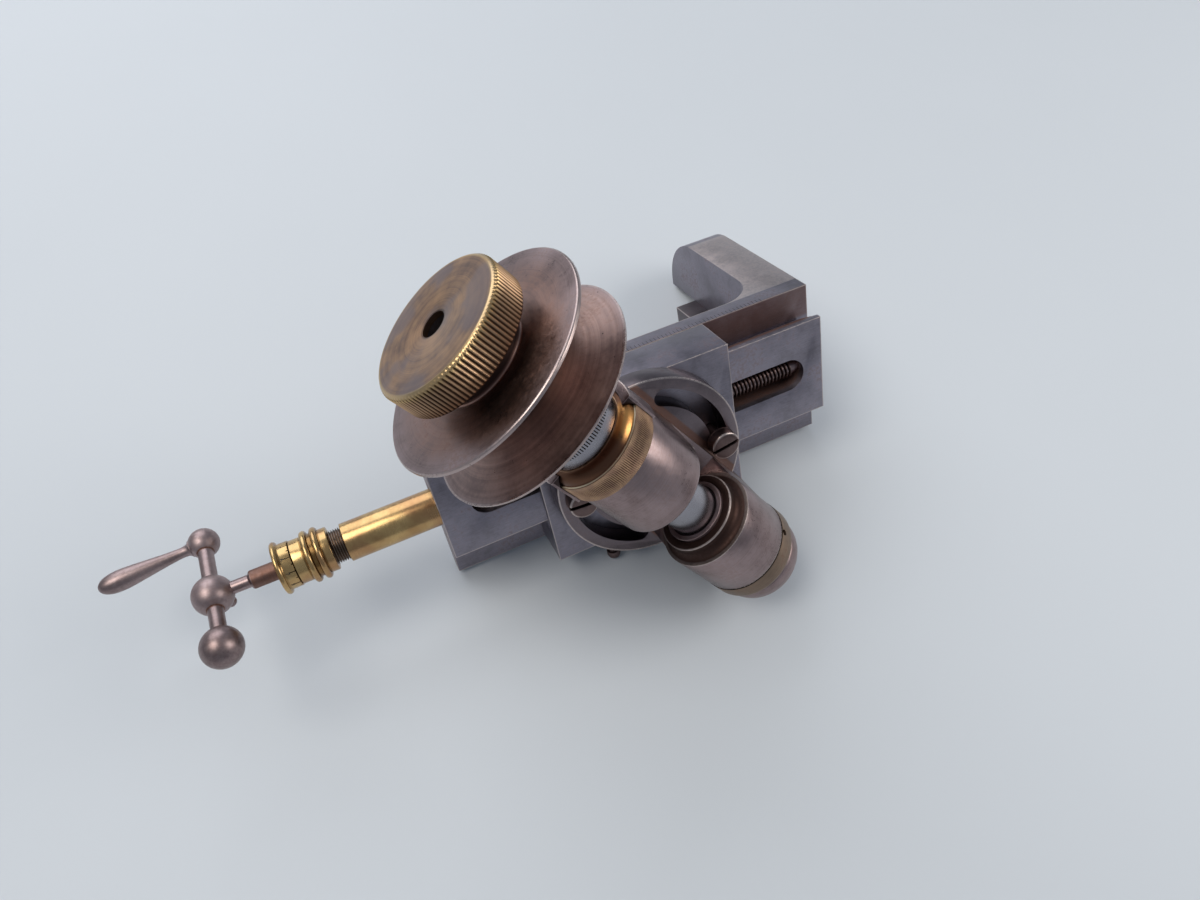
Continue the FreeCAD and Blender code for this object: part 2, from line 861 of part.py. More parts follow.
def make_spindle_head():
    body = new_body("spindle_head", spindle_frame)
    height = size["centre_height"]
    disc = new_sketch(body, "disc", "XZ_Plane", height)
    add_circle(disc, 0, 0, size["flange_radius"])
    pad(body, disc, size["flange_thick"], reverse=True)
    webs = [
        ("bridge", -size["front_end"] - 1, size["rear_start"] + 1, bridge_top),
        ("rear_web", size["rear_start"], size["rear_end"], height),
    ]
    for name, low, high, rise in webs:
        web = new_sketch(body, name, "XZ_Plane", height)
        add_outline(web, rectangle(-web_half, low, web_half, high))
        pad(body, web, rise, reverse=True)
    front_web = new_sketch(body, "front_web", "YZ_Plane", -web_half)
    add_outline(front_web, [
        (-height, -size["front_end"]),
        (-height, -web_foot),
        (size["flange_thick"] - height, -web_foot),
        (-size["guard_root"], -size["guard_start"]),
        (0, -size["guard_start"]),
        (0, -size["front_end"]),
    ])
    pad(body, front_web, web_half * 2)
    front = new_sketch(body, "front_housing", "XZ_Plane")
    add_outline(front, [
        (0, -size["front_start"]),
        (size["front_radius"], -size["front_start"]),
        (size["front_radius"], -size["front_end"] - size["front_round"]),
        (size["front_radius"] - size["front_round"], -size["front_end"], size["front_round"]),
        (0, -size["front_end"]),
    ])
    revolve(body, front)
    add_ring_guard(body)
    rear = new_sketch(body, "rear_housing", "XZ_Plane")
    boss_start = size["rear_start"] - size["boss_length"]
    add_outline(rear, [
        (0, boss_start),
        (size["boss_radius"], boss_start),
        (size["boss_radius"], size["rear_start"] - cove),
        (size["boss_radius"] + cove, size["rear_start"], -cove),
        (size["rear_radius"], size["rear_start"]),
        (size["rear_radius"], size["rear_end"]),
        (0, size["rear_end"]),
    ])
    revolve(body, rear)
    bore = new_sketch(body, "bore", "XY_Plane", -size["front_start"])
    add_circle(bore, 0, 0, size["bush_radius"])
    pocket(body, bore, size["front_start"] + size["rear_end"], reverse=True)
    for number, middle in enumerate((0, 180), start=1):
        slot = new_sketch(body, f"arc_slot_{number}", "XZ_Plane", height)
        add_outline(slot, arc_slot(middle))
        pocket(body, slot, size["flange_thick"])
    pivot = new_sketch(body, "pivot", "XZ_Plane", height)
    add_circle(pivot, 0, 0, size["pivot_shoulder"] + size["running_gap"])
    pocket(body, pivot, bridge_top)
    recess = new_sketch(body, "recess", "XZ_Plane", height - bridge_top)
    add_circle(recess, 0, 0, size["pivot_head"] + 0.2)
    pocket(body, recess, size["pivot_head_height"], reverse=True)
    return body


def add_ring_guard(body):
    """The half-round wall behind the adjusting ring, open to the front so that a finger can turn it."""
    guard = new_sketch(body, "guard", "XZ_Plane")
    add_outline(guard, [
        (0, -size["guard_start"]),
        (size["guard_radius"], -size["guard_start"]),
        (size["guard_radius"], -size["front_start"]),
        (0, -size["front_start"]),
    ])
    revolve(body, guard)
    window = new_sketch(body, "guard_window", "XZ_Plane", -size["guard_rise"])
    reach = size["guard_radius"] + 1
    add_outline(window, rectangle(-reach, -size["guard_start"] - 1, reach, -size["front_start"]))
    pocket(body, window, reach)
    seat = new_sketch(body, "ring_seat", "XZ_Plane")
    radius = size["ring_radius"] + size["guard_gap"]
    mouth = ring_foot + size["guard_mouth_gap"]
    add_outline(seat, [
        (0, -size["guard_start"] - 1),
        (mouth, -size["guard_start"] - 1),
        (mouth, -size["guard_start"]),
        (radius, ring_start - size["guard_gap"]),
        (radius, -size["front_start"]),
        (0, -size["front_start"]),
    ])
    revolve(body, seat, cut=True)


def make_adjusting_ring():
    start = -size["collar_end"] + 0.1
    radius = size["ring_radius"]
    return turned("adjusting_ring", spindle_frame, [
        (ring_mouth, start),
        (ring_foot, start),
        (radius - 0.5, ring_start, -size["ring_neck"]),
        (radius - 0.3, ring_start),
        (radius, ring_start + 0.3),
        (radius, -size["front_start"] - 0.3),
        (radius - 0.3, -size["front_start"]),
        (size["bush_radius"], -size["front_start"]),
        (size["bush_radius"], ring_start),
        (ring_mouth, ring_start),
    ])


def make_end_ring():
    end = nose_start - 0.1
    radius = size["end_ring_radius"]
    turn = Rotation(Vector(0, 0, 1), 180 - SIZES["notch_angle"])
    body = turned("end_ring", spindle_frame.multiply(Placement(Vector(0, 0, 0), turn)), [
        (size["bush_radius"], size["rear_end"]),
        (radius, size["rear_end"]),
        (radius, end - 1.5),
        (radius - 0.7, end, 2),
        (ring_mouth, end),
        (ring_mouth, bush_end),
        (size["bush_radius"], bush_end),
    ])
    notch = new_sketch(body, "notch", "XZ_Plane", radius + 1)
    add_circle(notch, 0, size["rear_end"] + 1.2, size["notch_radius"])
    pocket(body, notch, 3)
    return body


# spindle and what turns with it

def make_spindle():
    nose = size["nose_end"]
    step = nose - size["collet_depth"]
    collet = size["collet_radius"]
    return turned("spindle", spindle_frame, [
        (spindle_bore, -size["spindle_start"]),
        (size["spindle_radius"], -size["spindle_start"]),
        (size["spindle_radius"], nose),
        (collet + 1, nose),
        (collet, nose - 2),
        (collet, step),
        (spindle_bore, step),
    ])


pulley_middle = -(size["pulley_front"] + size["pulley_rear"]) / 2
flank = size["pulley_radius"] * 0.8


def make_pulley_front_half():
    """The half on the knob's side, with the hub. It meets the other half at the root of the groove."""
    front = -size["pulley_front"]
    radius = size["pulley_radius"]
    root = size["pulley_root"]
    body = turned("pulley_front_half", spindle_frame, [
        (size["spindle_radius"], hub_front),
        (size["pulley_hub"], hub_front),
        (size["pulley_hub"], front + 0.8),
        (radius - 0.3, front),
        (radius, front + 0.2),
        (radius, front + size["pulley_rim"]),
        (root + 1, pulley_middle - 1.4, -flank),
        (root, pulley_middle - 0.4, -1),
        (root, pulley_middle),
        (size["spindle_radius"], pulley_middle),
    ])
    tap = new_sketch(body, "tap", "YZ_Plane", size["pulley_hub"])
    add_circle(tap, 0, grub_station, size["grub_radius"])
    pocket(body, tap, size["pulley_hub"] - size["spindle_radius"])
    return body


def make_pulley_rear_half():
    rear = -size["pulley_rear"]
    radius = size["pulley_radius"]
    root = size["pulley_root"]
    return turned("pulley_rear_half", spindle_frame, [
        (size["spindle_radius"], pulley_middle),
        (root, pulley_middle),
        (root, pulley_middle + 0.4),
        (root + 1, pulley_middle + 1.4, -1),
        (radius, rear - size["pulley_rim"], -flank),
        (radius, rear - 0.2),
        (radius - 0.3, rear),
        (size["spindle_radius"], rear),
    ])


def make_pulley_screw():
    turn = Rotation(Vector(0, 1, 0), 90)
    frame = spindle_frame.multiply(Placement(Vector(0, 0, grub_station.value), turn))
    return turned("pulley_screw", frame, [
        (0, size["spindle_radius"]),
        (size["grub_radius"], size["spindle_radius"]),
        (size["grub_radius"], size["pulley_hub"] - 0.3),
        (0, size["pulley_hub"] - 0.3),
    ])


def make_index_collar():
    radius = size["collar_radius"]
    return turned("index_collar", spindle_frame, [
        (size["spindle_radius"], -size["pulley_rear"]),
        (radius, -size["pulley_rear"]),
        (radius, -size["collar_end"] - 0.4),
        (radius - 0.4, -size["collar_end"]),
        (size["spindle_radius"], -size["collar_end"]),
    ])


def make_nose_cap():
    swell = size["nose_swell"]
    return turned("nose_cap", spindle_frame, [
        (size["spindle_radius"], nose_start),
        (swell - 0.5, nose_start),
        (swell, nose_start + 0.6, 0.9),
        (size["nose_radius"], size["nose_end"] - 0.9, 9),
        (size["nose_radius"] - 1, size["nose_end"], 1.1),
        (size["spindle_radius"], size["nose_end"]),
    ])


def make_drawbar():
    end = size["nose_end"] - size["collet_depth"] - 0.2
    return tube("drawbar", spindle_frame, size["bar_hole"], size["bar_radius"], -size["knob_front"] + 1.2, end)


def make_draw_knob():
    front = -size["knob_front"]
    rear = -size["knob_rear"]
    radius = size["knob_radius"]
    return turned("draw_knob", spindle_frame, [
        (size["bar_hole"], front),
        (radius - 0.6, front),
        (radius, front + 0.6),
        (radius, rear - 0.4),
        (radius - 0.4, rear),
        (size["knob_boss"], rear),
        (size["knob_boss"], -size["spindle_start"] - 0.08),
        (size["bar_radius"], -size["spindle_start"] - 0.08),
        (size["bar_radius"], front + 1.2),
        (size["bar_hole"], front + 1.2),
    ])


# feed screw, its tube and dial

def make_screw_tube():
    outer = size["tube_radius"]
    return turned("screw_tube", feed_frame, [
        (size["bush_thread"], -size["tube_length"]),
        (outer - 0.3, -size["tube_length"]),
        (outer, -size["tube_length"] + 0.3),
        (outer, 0),
        (size["spigot_radius"], 0),
        (size["spigot_radius"], size["spigot_length"]),
        (thread_bore, size["spigot_length"]),
        (thread_bore, tube_step),
        (size["bush_thread"], tube_step),
    ])


def make_threaded_bush():
    return tube("threaded_bush", feed_frame, shaft_bore, size["bush_thread"], bush_start, tube_step)


def bead(station):
    """Corners of one round bead of the gland, about a station."""
    half = size["bead_width"] / 2
    foot = size["bead_radius"] - half
    return [
        (size["gland_radius"], station - half),
        (foot, station - half),
        (size["bead_radius"], station, half),
        (foot, station + half, half),
        (size["gland_radius"], station + half),
    ]


def make_gland_nut():
    start = -size["gland_start"]
    end = -size["gland_end"]
    outline = [(shaft_bore, start), (size["gland_radius"], start)]
    for station in (end - 4.8, end - 2.6):
        outline += bead(station)
    outline += [
        (size["gland_radius"], end - 0.3),
        (size["gland_radius"] - 0.3, end),
        (size["bush_thread"], end),
        (size["bush_thread"], start + size["gland_wall"]),
        (shaft_bore, start + size["gland_wall"]),
    ]
    return turned("gland_nut", feed_frame, outline)


def make_dial():
    start = -size["dial_start"]
    end = -size["gland_start"] - 0.1
    lip = start + size["dial_flange_width"]
    return turned("dial", feed_frame, [
        (size["shaft_radius"], start),
        (size["dial_flange"] - 0.3, start),
        (size["dial_flange"], start + 0.3, 0.3),
        (size["dial_flange"], lip - 0.3),
        (size["dial_flange"] - 0.3, lip, 0.3),
        (size["dial_radius"] + 0.2, lip),
        (size["dial_radius"], lip + 0.4, -0.5),
        (size["dial_radius"], end),
        (size["shaft_radius"], end),
    ])


def make_leadscrew():
    hub_end = -size["handle_station"] - size["hub_blind"]
    thread_end = slot_end - 1
    return turned("leadscrew", feed_frame, [
        (0, hub_end),
        (size["neck_radius"], hub_end),
        (size["neck_radius"], -size["step_start"]),
        (size["shaft_radius"], -size["step_start"] + 0.4),
        (size["shaft_radius"], collar_start),
        (size["thrust_radius"], collar_start),
        (size["thrust_radius"], collar_start + size["collar_thick"]),
        (size["shaft_radius"], collar_start + size["collar_thick"]),
        (size["shaft_radius"], 4),
        (size["thread_radius"], 4.4),
        (size["thread_radius"], thread_end),
        (size["journal_radius"], thread_end),
        (size["journal_radius"], thread_end + size["journal_length"]),
        (0, thread_end + size["journal_length"]),
    ])


# ball handle

def ball_edge(ball):
    """Distance from a ball's centre to where the bar leaves it."""
    return square_root(ball * ball - size["bar_thick"] * size["bar_thick"])


def make_ball_handle():
    body = new_body("ball_handle", handle_frame)
    hub = size["hub_ball"]
    small = size["small_ball"]
    large = size["large_ball"]
    bar = size["bar_thick"]
    low = -size["large_arm"]
    high = size["small_arm"]
    profile = new_sketch(body, "profile", "XZ_Plane")
    add_outline(profile, [
        (0, low - large),
        (large, low, large),
        (bar, low + ball_edge(large), large),
        (bar, -ball_edge(hub)),
        (hub, 0, hub),
        (bar, ball_edge(hub), hub),
        (bar, high - ball_edge(small)),
        (small, high, small),
        (0, high + small, small),
    ])
    revolve(body, profile)
    bore = new_sketch(body, "bore", "YZ_Plane", -size["hub_blind"])
    add_circle(bore, 0, 0, size["neck_radius"])
    pocket(body, bore, size["hub_blind"] + hub, reverse=True)
    cut_along(body, "socket", "XZ_Plane", grip_angle, high, size["grip_spigot"], 0.8, small + 1)
    cut_along(body, "seat", "XZ_Plane", grip_angle, high, size["grip_foot"] + 0.05, grip_seat, small + 1)
    angle = 90 - size["hub_screw_tilt"]
    cut_along(body, "tap", "XY_Plane", angle, 0, size["hub_screw_radius"], 1.3, hub + 1)
    cut_along(body, "spot", "XY_Plane", angle, 0, size["hub_screw_head"] + 0.05, hub_seat, hub + 1)
    return body


def cut_along(body, name, role, angle, height, radius, near, far):
    """A round hole from a point on the plane's second axis, drilled at an angle in that plane."""
    sketch = new_sketch(body, name, role)
    along_x, along_z = polar(1, angle)

    def at(reach, side):
        return reach * along_x - side * along_z, height + reach * along_z + side * along_x

    ends = [at(near, 0), at(far, 0)]
    points = [Vector(x.value, y.value, 0) for x, y in ends]
    axis = sketch.addGeometry(Part.LineSegment(points[0], points[1]), True)
    for number, (x, y) in enumerate(ends, start=1):
        pin_point(sketch, axis, number, x, y)
    add_outline(sketch, ends + [at(far, radius), at(near, radius)])
    revolve(body, sketch, axis="Axis0", cut=True)


def make_crank_grip():
    tilt = math.radians(SIZES["grip_tilt"])
    place = Placement(
        Vector(0, 0, SIZES["small_arm"]),
        Rotation(Vector(0, 0, 1), Vector(-math.cos(tilt), 0, -math.sin(tilt))),
    )
    length = size["grip_length"]
    widest = length * 0.76
    return turned("crank_grip", handle_frame.multiply(place), [
        (0, 0.8),
        (size["grip_spigot"], 0.8),
        (size["grip_spigot"], grip_seat),
        (size["grip_foot"], grip_seat),
        (size["grip_foot"] - 0.15, grip_seat + 0.6),
        (size["grip_neck"], grip_seat + 2.3, -3),
        (size["grip_radius"], widest, length * 2.4),
        (size["grip_radius"] - 0.6, length - 1.4, 9),
        (0, length, dome(size["grip_radius"] - 0.6, as_size(1.4))),
    ])


def make_hub_screw():
    tilt = math.radians(SIZES["hub_screw_tilt"])
    direction = Vector(math.sin(tilt), math.cos(tilt), 0)
    frame = handle_frame.multiply(Placement(Vector(0, 0, 0), Rotation(Vector(0, 0, 1), direction)))
    shank = size["hub_screw_radius"]
    head = size["hub_screw_head"]
    start = size["neck_radius"] + 0.8
    return turned("hub_screw", frame, [
        (0, start),
        (shank, start),
        (shank, hub_seat),
        (head, hub_seat),
        (head, hub_seat + 0.8),
        (0, hub_seat + 1.4, dome(head, as_size(0.6))),
    ])


# the whole attachment

NODES = [
    make_bed(),
    make_bracket(),
    make_clamp_block(),
    make_bed_screws(),
    make_block_screws(),
    make_screw_tube(),
    make_threaded_bush(),
    make_gland_nut(),
    make_saddle(),
    make_gib_strip(),
    make_gib_screws(),
    make_gib_locknuts(),
    make_feed_nut(),
    make_nut_screws(),
    make_pivot_screw(),
    make_clamp_screws(),
    make_clamp_washers(),
    make_spindle_head(),
    tube("front_bush", spindle_frame, bush_bore, size["bush_radius"], ring_start, -size["front_end"]),
    tube("rear_bush", spindle_frame, bush_bore, size["bush_radius"],
         size["rear_start"] - size["boss_length"] - size["bush_stand"], bush_end),
    make_adjusting_ring(),
    make_end_ring(),
    make_spindle(),
    make_pulley_front_half(),
    make_pulley_rear_half(),
    make_pulley_screw(),
    make_index_collar(),
    make_nose_cap(),
    make_drawbar(),
    make_draw_knob(),
    make_leadscrew(),
    make_dial(),
    make_ball_handle(),
    make_crank_grip(),
    make_hub_screw(),
]


def stand_on_bench():
    """Move every piece alike, so that the origin is under the middle of the whole, on the bench."""
    box = FreeCAD.BoundBox()
    for node in NODES:
        box.add(node.Shape.optimalBoundingBox(True, False))
    shift = Vector(-box.Center.x, -box.Center.y, -box.ZMin)
    for node in NODES:
        node.Placement = Placement(shift, Rotation()).multiply(node.Placement)
    doc.recompute()
    print(f"origin shift {shift.x:.6f} {shift.y:.6f} {shift.z:.6f}")
    print(f"size {box.XLength:.3f} {box.YLength:.3f} {box.ZLength:.3f}")


def check():
    for item in doc.Objects:
        if "Invalid" in item.State or "Error" in item.State:
            raise RuntimeError(f"{item.Label} is {item.State}")
    for node in NODES:
        if node.Shape.isNull() or not node.Shape.isValid() or not node.Shape.Solids:
            raise RuntimeError(f"{node.Label} has no valid shape")
        print(f"{node.Label}: {len(node.Shape.Solids)} solid, {node.Shape.Volume:.1f} mm3")


stand_on_bench()
check()
os.makedirs("parts", exist_ok=True)
for node in NODES:
    node.Shape.exportStep(f"parts/{node.Label}.step")
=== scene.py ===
import json
import math

import bpy
from bpy.props import FloatProperty, FloatVectorProperty, IntProperty, PointerProperty
from mathutils import Matrix, Vector


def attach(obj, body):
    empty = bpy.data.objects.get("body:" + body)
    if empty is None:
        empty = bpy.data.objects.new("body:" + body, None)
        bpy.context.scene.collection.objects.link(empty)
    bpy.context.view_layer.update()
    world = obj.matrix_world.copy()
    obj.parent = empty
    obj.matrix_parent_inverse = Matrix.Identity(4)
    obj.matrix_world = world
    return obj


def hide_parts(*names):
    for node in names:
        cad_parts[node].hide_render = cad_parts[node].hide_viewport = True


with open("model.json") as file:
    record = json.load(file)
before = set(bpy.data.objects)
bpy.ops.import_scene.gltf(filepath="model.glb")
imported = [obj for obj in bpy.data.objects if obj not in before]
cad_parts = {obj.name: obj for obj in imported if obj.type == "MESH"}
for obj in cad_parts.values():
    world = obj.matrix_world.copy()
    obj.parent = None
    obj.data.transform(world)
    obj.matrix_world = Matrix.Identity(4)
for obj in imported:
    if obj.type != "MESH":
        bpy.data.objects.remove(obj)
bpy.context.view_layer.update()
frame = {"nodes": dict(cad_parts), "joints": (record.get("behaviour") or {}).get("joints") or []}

bl_info = {
    "name": "Lathe milling attachment",
    "version": (1, 0, 0),
    "blender": (4, 5, 0),
    "location": "3D View > Sidebar > Attachment",
    "description": "Turns, knurls, engraves and finishes the pieces of a small milling attachment",
    "category": "Object",
}

MM = 0.001


# The frames of the pieces. Each piece is drawn in millimetres in a frame of its own.

def basis(origin, x, y, z):
    return Matrix.Translation(origin) @ Matrix((x, y, z)).transposed().to_4x4()


def shift(x, y, z):
    return Matrix.Translation(Vector((x, y, z)) * MM)


def turn(angle, axis):
    return Matrix.Rotation(math.radians(angle), 4, axis)


def joint(name):
    for entry in frame["joints"]:
        if entry["name"] == name:
            return entry
    raise RuntimeError(f"no joint {name}")


FRONT = Vector(joint("head_swivel")["axis"]).normalized()
ALONG = Vector((1, 0, 0))
UP = FRONT.cross(ALONG)
SADDLE_CENTRE = 47.2
SWIVEL_DEPTH = -4.0
SWIVEL_HEIGHT = -4.6
SLIDE = basis(Vector(joint("head_swivel")["pos_m"]), ALONG, -FRONT, UP)
SLIDE = SLIDE @ shift(-SADDLE_CENTRE, -SWIVEL_DEPTH, -SWIVEL_HEIGHT)
NOSEWARD = Vector(joint("spindle_turn")["axis"]).normalized()
SPINDLE = basis(Vector(joint("spindle_turn")["pos_m"]), FRONT.cross(NOSEWARD), FRONT, NOSEWARD)
FEED_DEPTH = 3.8
FEED = SLIDE @ shift(0, FEED_DEPTH, 0) @ turn(90, "Y")
HANDLE_STATION = -48.9
HANDLE_ANGLE = 11.6
HANDLE = SLIDE @ shift(HANDLE_STATION, FEED_DEPTH, 0) @ turn(HANDLE_ANGLE - 90, "X")
SMALL_ARM = 15.3
GRIP_TILT = 4.5
GRIP = HANDLE @ shift(0, 0, SMALL_ARM) @ turn(-90 - GRIP_TILT, "Y")

# The camera, with its lens for a picture of 1200 pixels across
CAMERA = shift(-5.55, -155.216, 116.421) @ Matrix((
    (0.9054, -0.3870, -0.1758), (0.3632, 0.4896, 0.7927), (-0.2206, -0.7815, 0.5837),
)).transposed().to_4x4()
PICTURE_WIDTH = 1200
FOCAL_PIXELS = 880.33
SENSOR_WIDTH = 36


def face_frame(x, y, z, angle=0):
    """A place on the saddle's front with Z pointing out of it, turned about that Z."""
    return SLIDE @ shift(x, y, z) @ turn(90, "X") @ turn(angle, "Z")


# Sizes and colours that a user would change

def length(name, description, default):
    return FloatProperty(name=name, description=description, default=default * MM, unit="LENGTH", precision=5)


def colour(name, description, default):
    return FloatVectorProperty(
        name=name, description=description, default=default, subtype="COLOR", size=3, min=0, max=1
    )


class AttachmentSizes(bpy.types.PropertyGroup):
    worn_edge: length("Worn edge", "Width of the rounding on flat pieces", 0.22)
    knob_ridges: IntProperty(name="Knob ridges", description="Ridges of the knob's knurl", default=104)
    knob_knurl: length("Knob knurl", "Depth of the knob's knurl", 0.34)
    ring_ridges: IntProperty(name="Ring ridges", description="Ridges of the adjusting ring", default=176)
    ring_knurl: length("Ring knurl", "Depth of the adjusting ring's knurl", 0.16)
    thread_pitch: length("Thread pitch", "Pitch of the feed screw", 1.0)
    bush_pitch: length("Bush pitch", "Pitch of the threaded bush", 0.5)
    collar_lines: IntProperty(name="Collar lines", description="Index lines of the collar", default=90)
    dial_lines: IntProperty(name="Dial lines", description="Lines of the feed dial", default=20)


class AttachmentColours(bpy.types.PropertyGroup):
    ground: colour("Ground steel", "Bright tone of the flat pieces", (0.33, 0.31, 0.365))
    ground_shade: colour("Ground steel shade", "Dark tone of the flat pieces", (0.175, 0.158, 0.18))
    steel: colour("Turned steel", "Bright tone of the turned steel pieces", (0.42, 0.325, 0.325))
    steel_shade: colour("Turned steel shade", "Dark tone of the turned steel pieces", (0.18, 0.125, 0.118))
    patina: colour("Patina", "Brown tone on old steel", (0.20, 0.10, 0.068))
    handled: colour("Handled steel", "Warm tone where steel is often touched", (0.40, 0.225, 0.165))
    # Near-black tone of the pits, also used as painted shade in corners, slots, gaps and recesses.
    grime: colour("Grime", "Nearly black dirt in corners", (0.030, 0.019, 0.018))
    bright: colour("Worn edge", "Bare metal on worn edges", (0.66, 0.56, 0.52))
    polish: colour("Polished steel", "Tone of the spindle and the collar", (0.37, 0.36, 0.39))
    brass: colour("Brass", "Tone of the tube and the dial", (0.62, 0.425, 0.19))
    brass_shade: colour("Brass shade", "Darker tone of the brass", (0.42, 0.25, 0.11))
    old_brass: colour("Old brass", "Tone of the knob", (0.48, 0.29, 0.165))
    old_brass_shade: colour("Old brass shade", "Dark tone of the knob", (0.145, 0.097, 0.085))
    engraving: colour("Engraving", "Tone of filled lines and figures", (0.012, 0.01, 0.009))
    floor: colour("Floor", "Tone of the floor", (0.64, 0.68, 0.72))


def sizes():
    return bpy.context.scene.attachment_sizes


def colours():
    return bpy.context.scene.attachment_colours


# Materials

class Value:
    """A socket of a material that can stand in an expression."""

    def __init__(self, paint, socket):
        self.paint = paint
        self.socket = socket

    def math(self, operation, *others):
        values = dict(enumerate((self,) + others))
        return self.paint.node("ShaderNodeMath", {"operation": operation}, values)

    def __add__(self, other):
        return self.math("ADD", other)

    __radd__ = __add__

    def __sub__(self, other):
        return self.math("SUBTRACT", other)

    def __rsub__(self, other):
        return self.math("MULTIPLY_ADD", -1, other)

    def __mul__(self, other):
        return self.math("MULTIPLY", other)

    __rmul__ = __mul__

    def __truediv__(self, other):
        return self.math("DIVIDE", other)

    def size(self):
        return self.math("ABSOLUTE")

    def most(self, other):
        return self.math("MAXIMUM", other)

    def least(self, other):
        return self.math("MINIMUM", other)

    def fraction(self):
        return self.math("FRACT")

    def rise(self, low, high):
        """0 below low, 1 above high and smooth between them."""
        values = {"Value": self, "From Min": low, "From Max": high}
        return self.paint.node("ShaderNodeMapRange", {"interpolation_type": "SMOOTHSTEP"}, values)

    def near(self, centre, half, soft):
        """1 within half of the centre, and 0 from soft beyond that."""
        return 1 - (self - centre).size().rise(half, half + soft)


class Paint:
    """One material, with the place on its piece in millimetres in the piece's frame."""

    def __init__(self, name, place):
        self.material = bpy.data.materials.new(name)
        self.material.use_nodes = True
        self.tree = self.material.node_tree
        self.shader = self.tree.nodes["Principled BSDF"]
        world = self.node("ShaderNodeTexCoord", {}, {}, "Object")
        self.place = self.node("ShaderNodeMapping", {"vector_type": "TEXTURE"}, {
            "Vector": world,
            "Location": place.to_translation(),
            "Rotation": place.to_euler("XYZ"),
            "Scale": (MM, MM, MM),
        })
        split = self.node("ShaderNodeSeparateXYZ", {}, {0: self.place}).socket.node
        self.x, self.y, self.z = (Value(self, socket) for socket in split.outputs)
        self.radius = (self.x * self.x + self.y * self.y).math("SQRT")
        self.turns = self.y.math("ARCTAN2", self.x) / (2 * math.pi)

    def node(self, kind, settings, values, output=0):
        made = self.tree.nodes.new(kind)
        for key, setting in settings.items():
            setattr(made, key, setting)
        for key, value in values.items():
            if isinstance(value, Value):
                self.tree.links.new(value.socket, made.inputs[key])
            else:
                made.inputs[key].default_value = value
        return Value(self, made.outputs[output])

    def vector(self, x, y, z):
        return self.node("ShaderNodeCombineXYZ", {}, {0: x, 1: y, 2: z})

    def moved(self, x, y, z):
        return self.node("ShaderNodeVectorMath", {"operation": "ADD"}, {0: self.place, 1: (x, y, z)})

    def noise(self, scale, detail=3.0, rough=0.55, at=None):
        values = {"Vector": at or self.place, "Scale": scale, "Detail": detail, "Roughness": rough}
        return self.node("ShaderNodeTexNoise", {}, values)

    def mix(self, first, second, share):
        values = {0: share, 6: rgba(first), 7: rgba(second)}
        return self.node("ShaderNodeMix", {"data_type": "RGBA"}, values, 2)

    def turning(self, fine=5.0):
        """Fine rings that a lathe tool leaves, from the radius and the station alone."""
        return self.noise(1.0, 4.0, 0.65, self.vector(self.radius * fine, 0.0, self.z * fine))

    def streaks(self, x, y, z):
        """Brush marks: noise with its own scale along each axis."""
        return self.noise(1.0, 4.0, 0.6, self.vector(self.x * x, self.y * y, self.z * z))

    def lines(self, count, low, high, width):
        """Engraved lines along the axis, all round, between two stations."""
        across = (self.turns * count).fraction() - 0.5
        line = across.size().rise(0.5 - width * 1.6, 0.5 - width)
        return line * self.z.near((low + high) / 2, (high - low) / 2, 0.05)

    def done(self, metallic=1.0, **inputs):
        self.shader.inputs["Metallic"].default_value = metallic
        for name, value in inputs.items():
            socket = self.shader.inputs[name.replace("_", " ").title()]
            if isinstance(value, Value):
                self.tree.links.new(value.socket, socket)
            else:
                socket.default_value = value
        return self.material


def rgba(tone):
    return tone if isinstance(tone, Value) else (*tone, 1.0)


def aged(paint, light, dark, grain, worn=None, stain=None, grime=None, marks=None, patch=0.11, specks=0.735,
         rough=0.38, rough_spread=0.20, grain_depth=0.10, mottle=1.0, seed=0.0):
    """Old metal: patches of two tones, tool marks, pits, stains, painted shade in hollows and gaps, worn
    edges and engraved marks.
    """
    tones = colours()
    shifted = paint.moved(seed, seed * 0.7, -seed)
    cloud = paint.noise(patch, 4.0, 0.6, shifted)
    fine = paint.noise(1.3, 6.0, 0.7, shifted)
    speck = paint.noise(1.05, 3.0, 0.6, shifted).rise(specks, specks + 0.05)
    spread = grain * 0.35 + fine * 0.25 - 0.3
    base = paint.mix(dark, light, (cloud * 0.75 + spread * mottle + 0.3).rise(0.42, 0.92))
    brown = (cloud * 0.5 + fine * 0.5).rise(0.50, 0.64) * (0.35 * mottle)
    if stain is not None:
        brown = brown.most(stain * (0.45 + 0.9 * fine))
    base = paint.mix(base, tones.patina, brown)
    base = paint.mix(base, tones.grime, speck * 0.8)
    # Painted shade: where the caller's mask is set, hollows, slots and gaps are darkened towards near black.
    if grime is not None:
        base = paint.mix(base, tones.grime, grime)
    roughness = rough + (cloud - 0.5) * rough_spread + (fine - 0.5) * rough_spread
    roughness = roughness + speck * 0.2 + brown * 0.25
    height = grain * grain_depth + fine * grain_depth * 0.8 - speck * 0.12
    if worn is not None:
        edge = worn * (0.10 + fine * 1.1).least(1.0)
        base = paint.mix(base, tones.bright, edge)
        roughness = roughness - edge * 0.10
    if marks is not None:
        base = paint.mix(base, tones.engraving, marks)
        roughness = roughness + marks * 0.3
        height = height - marks * 0.5
    bump = paint.node("ShaderNodeBump", {}, {"Strength": 0.6, "Distance": 0.00012, "Height": height})
    return paint.done(base_color=base, roughness=roughness.most(0.08), normal=bump)


def box_edges(paint, low, high, soft=0.30):
    """1 where two faces of a box meet, from the box's corners in the frame's millimetres."""
    close = []
    for value, start, end in zip((paint.x, paint.y, paint.z), low, high):
        middle = (start + end) / 2
        half = (end - start) / 2
        close.append((value - middle).size().rise(half - soft, half - soft * 0.15))
    x, y, z = close
    return (x * y).most(y * z).most(x * z)


# Modelling

def start():
    if bpy.context.object and bpy.context.object.mode != "OBJECT":
        bpy.ops.object.mode_set(mode="OBJECT")
    bpy.ops.object.select_all(action="DESELECT")


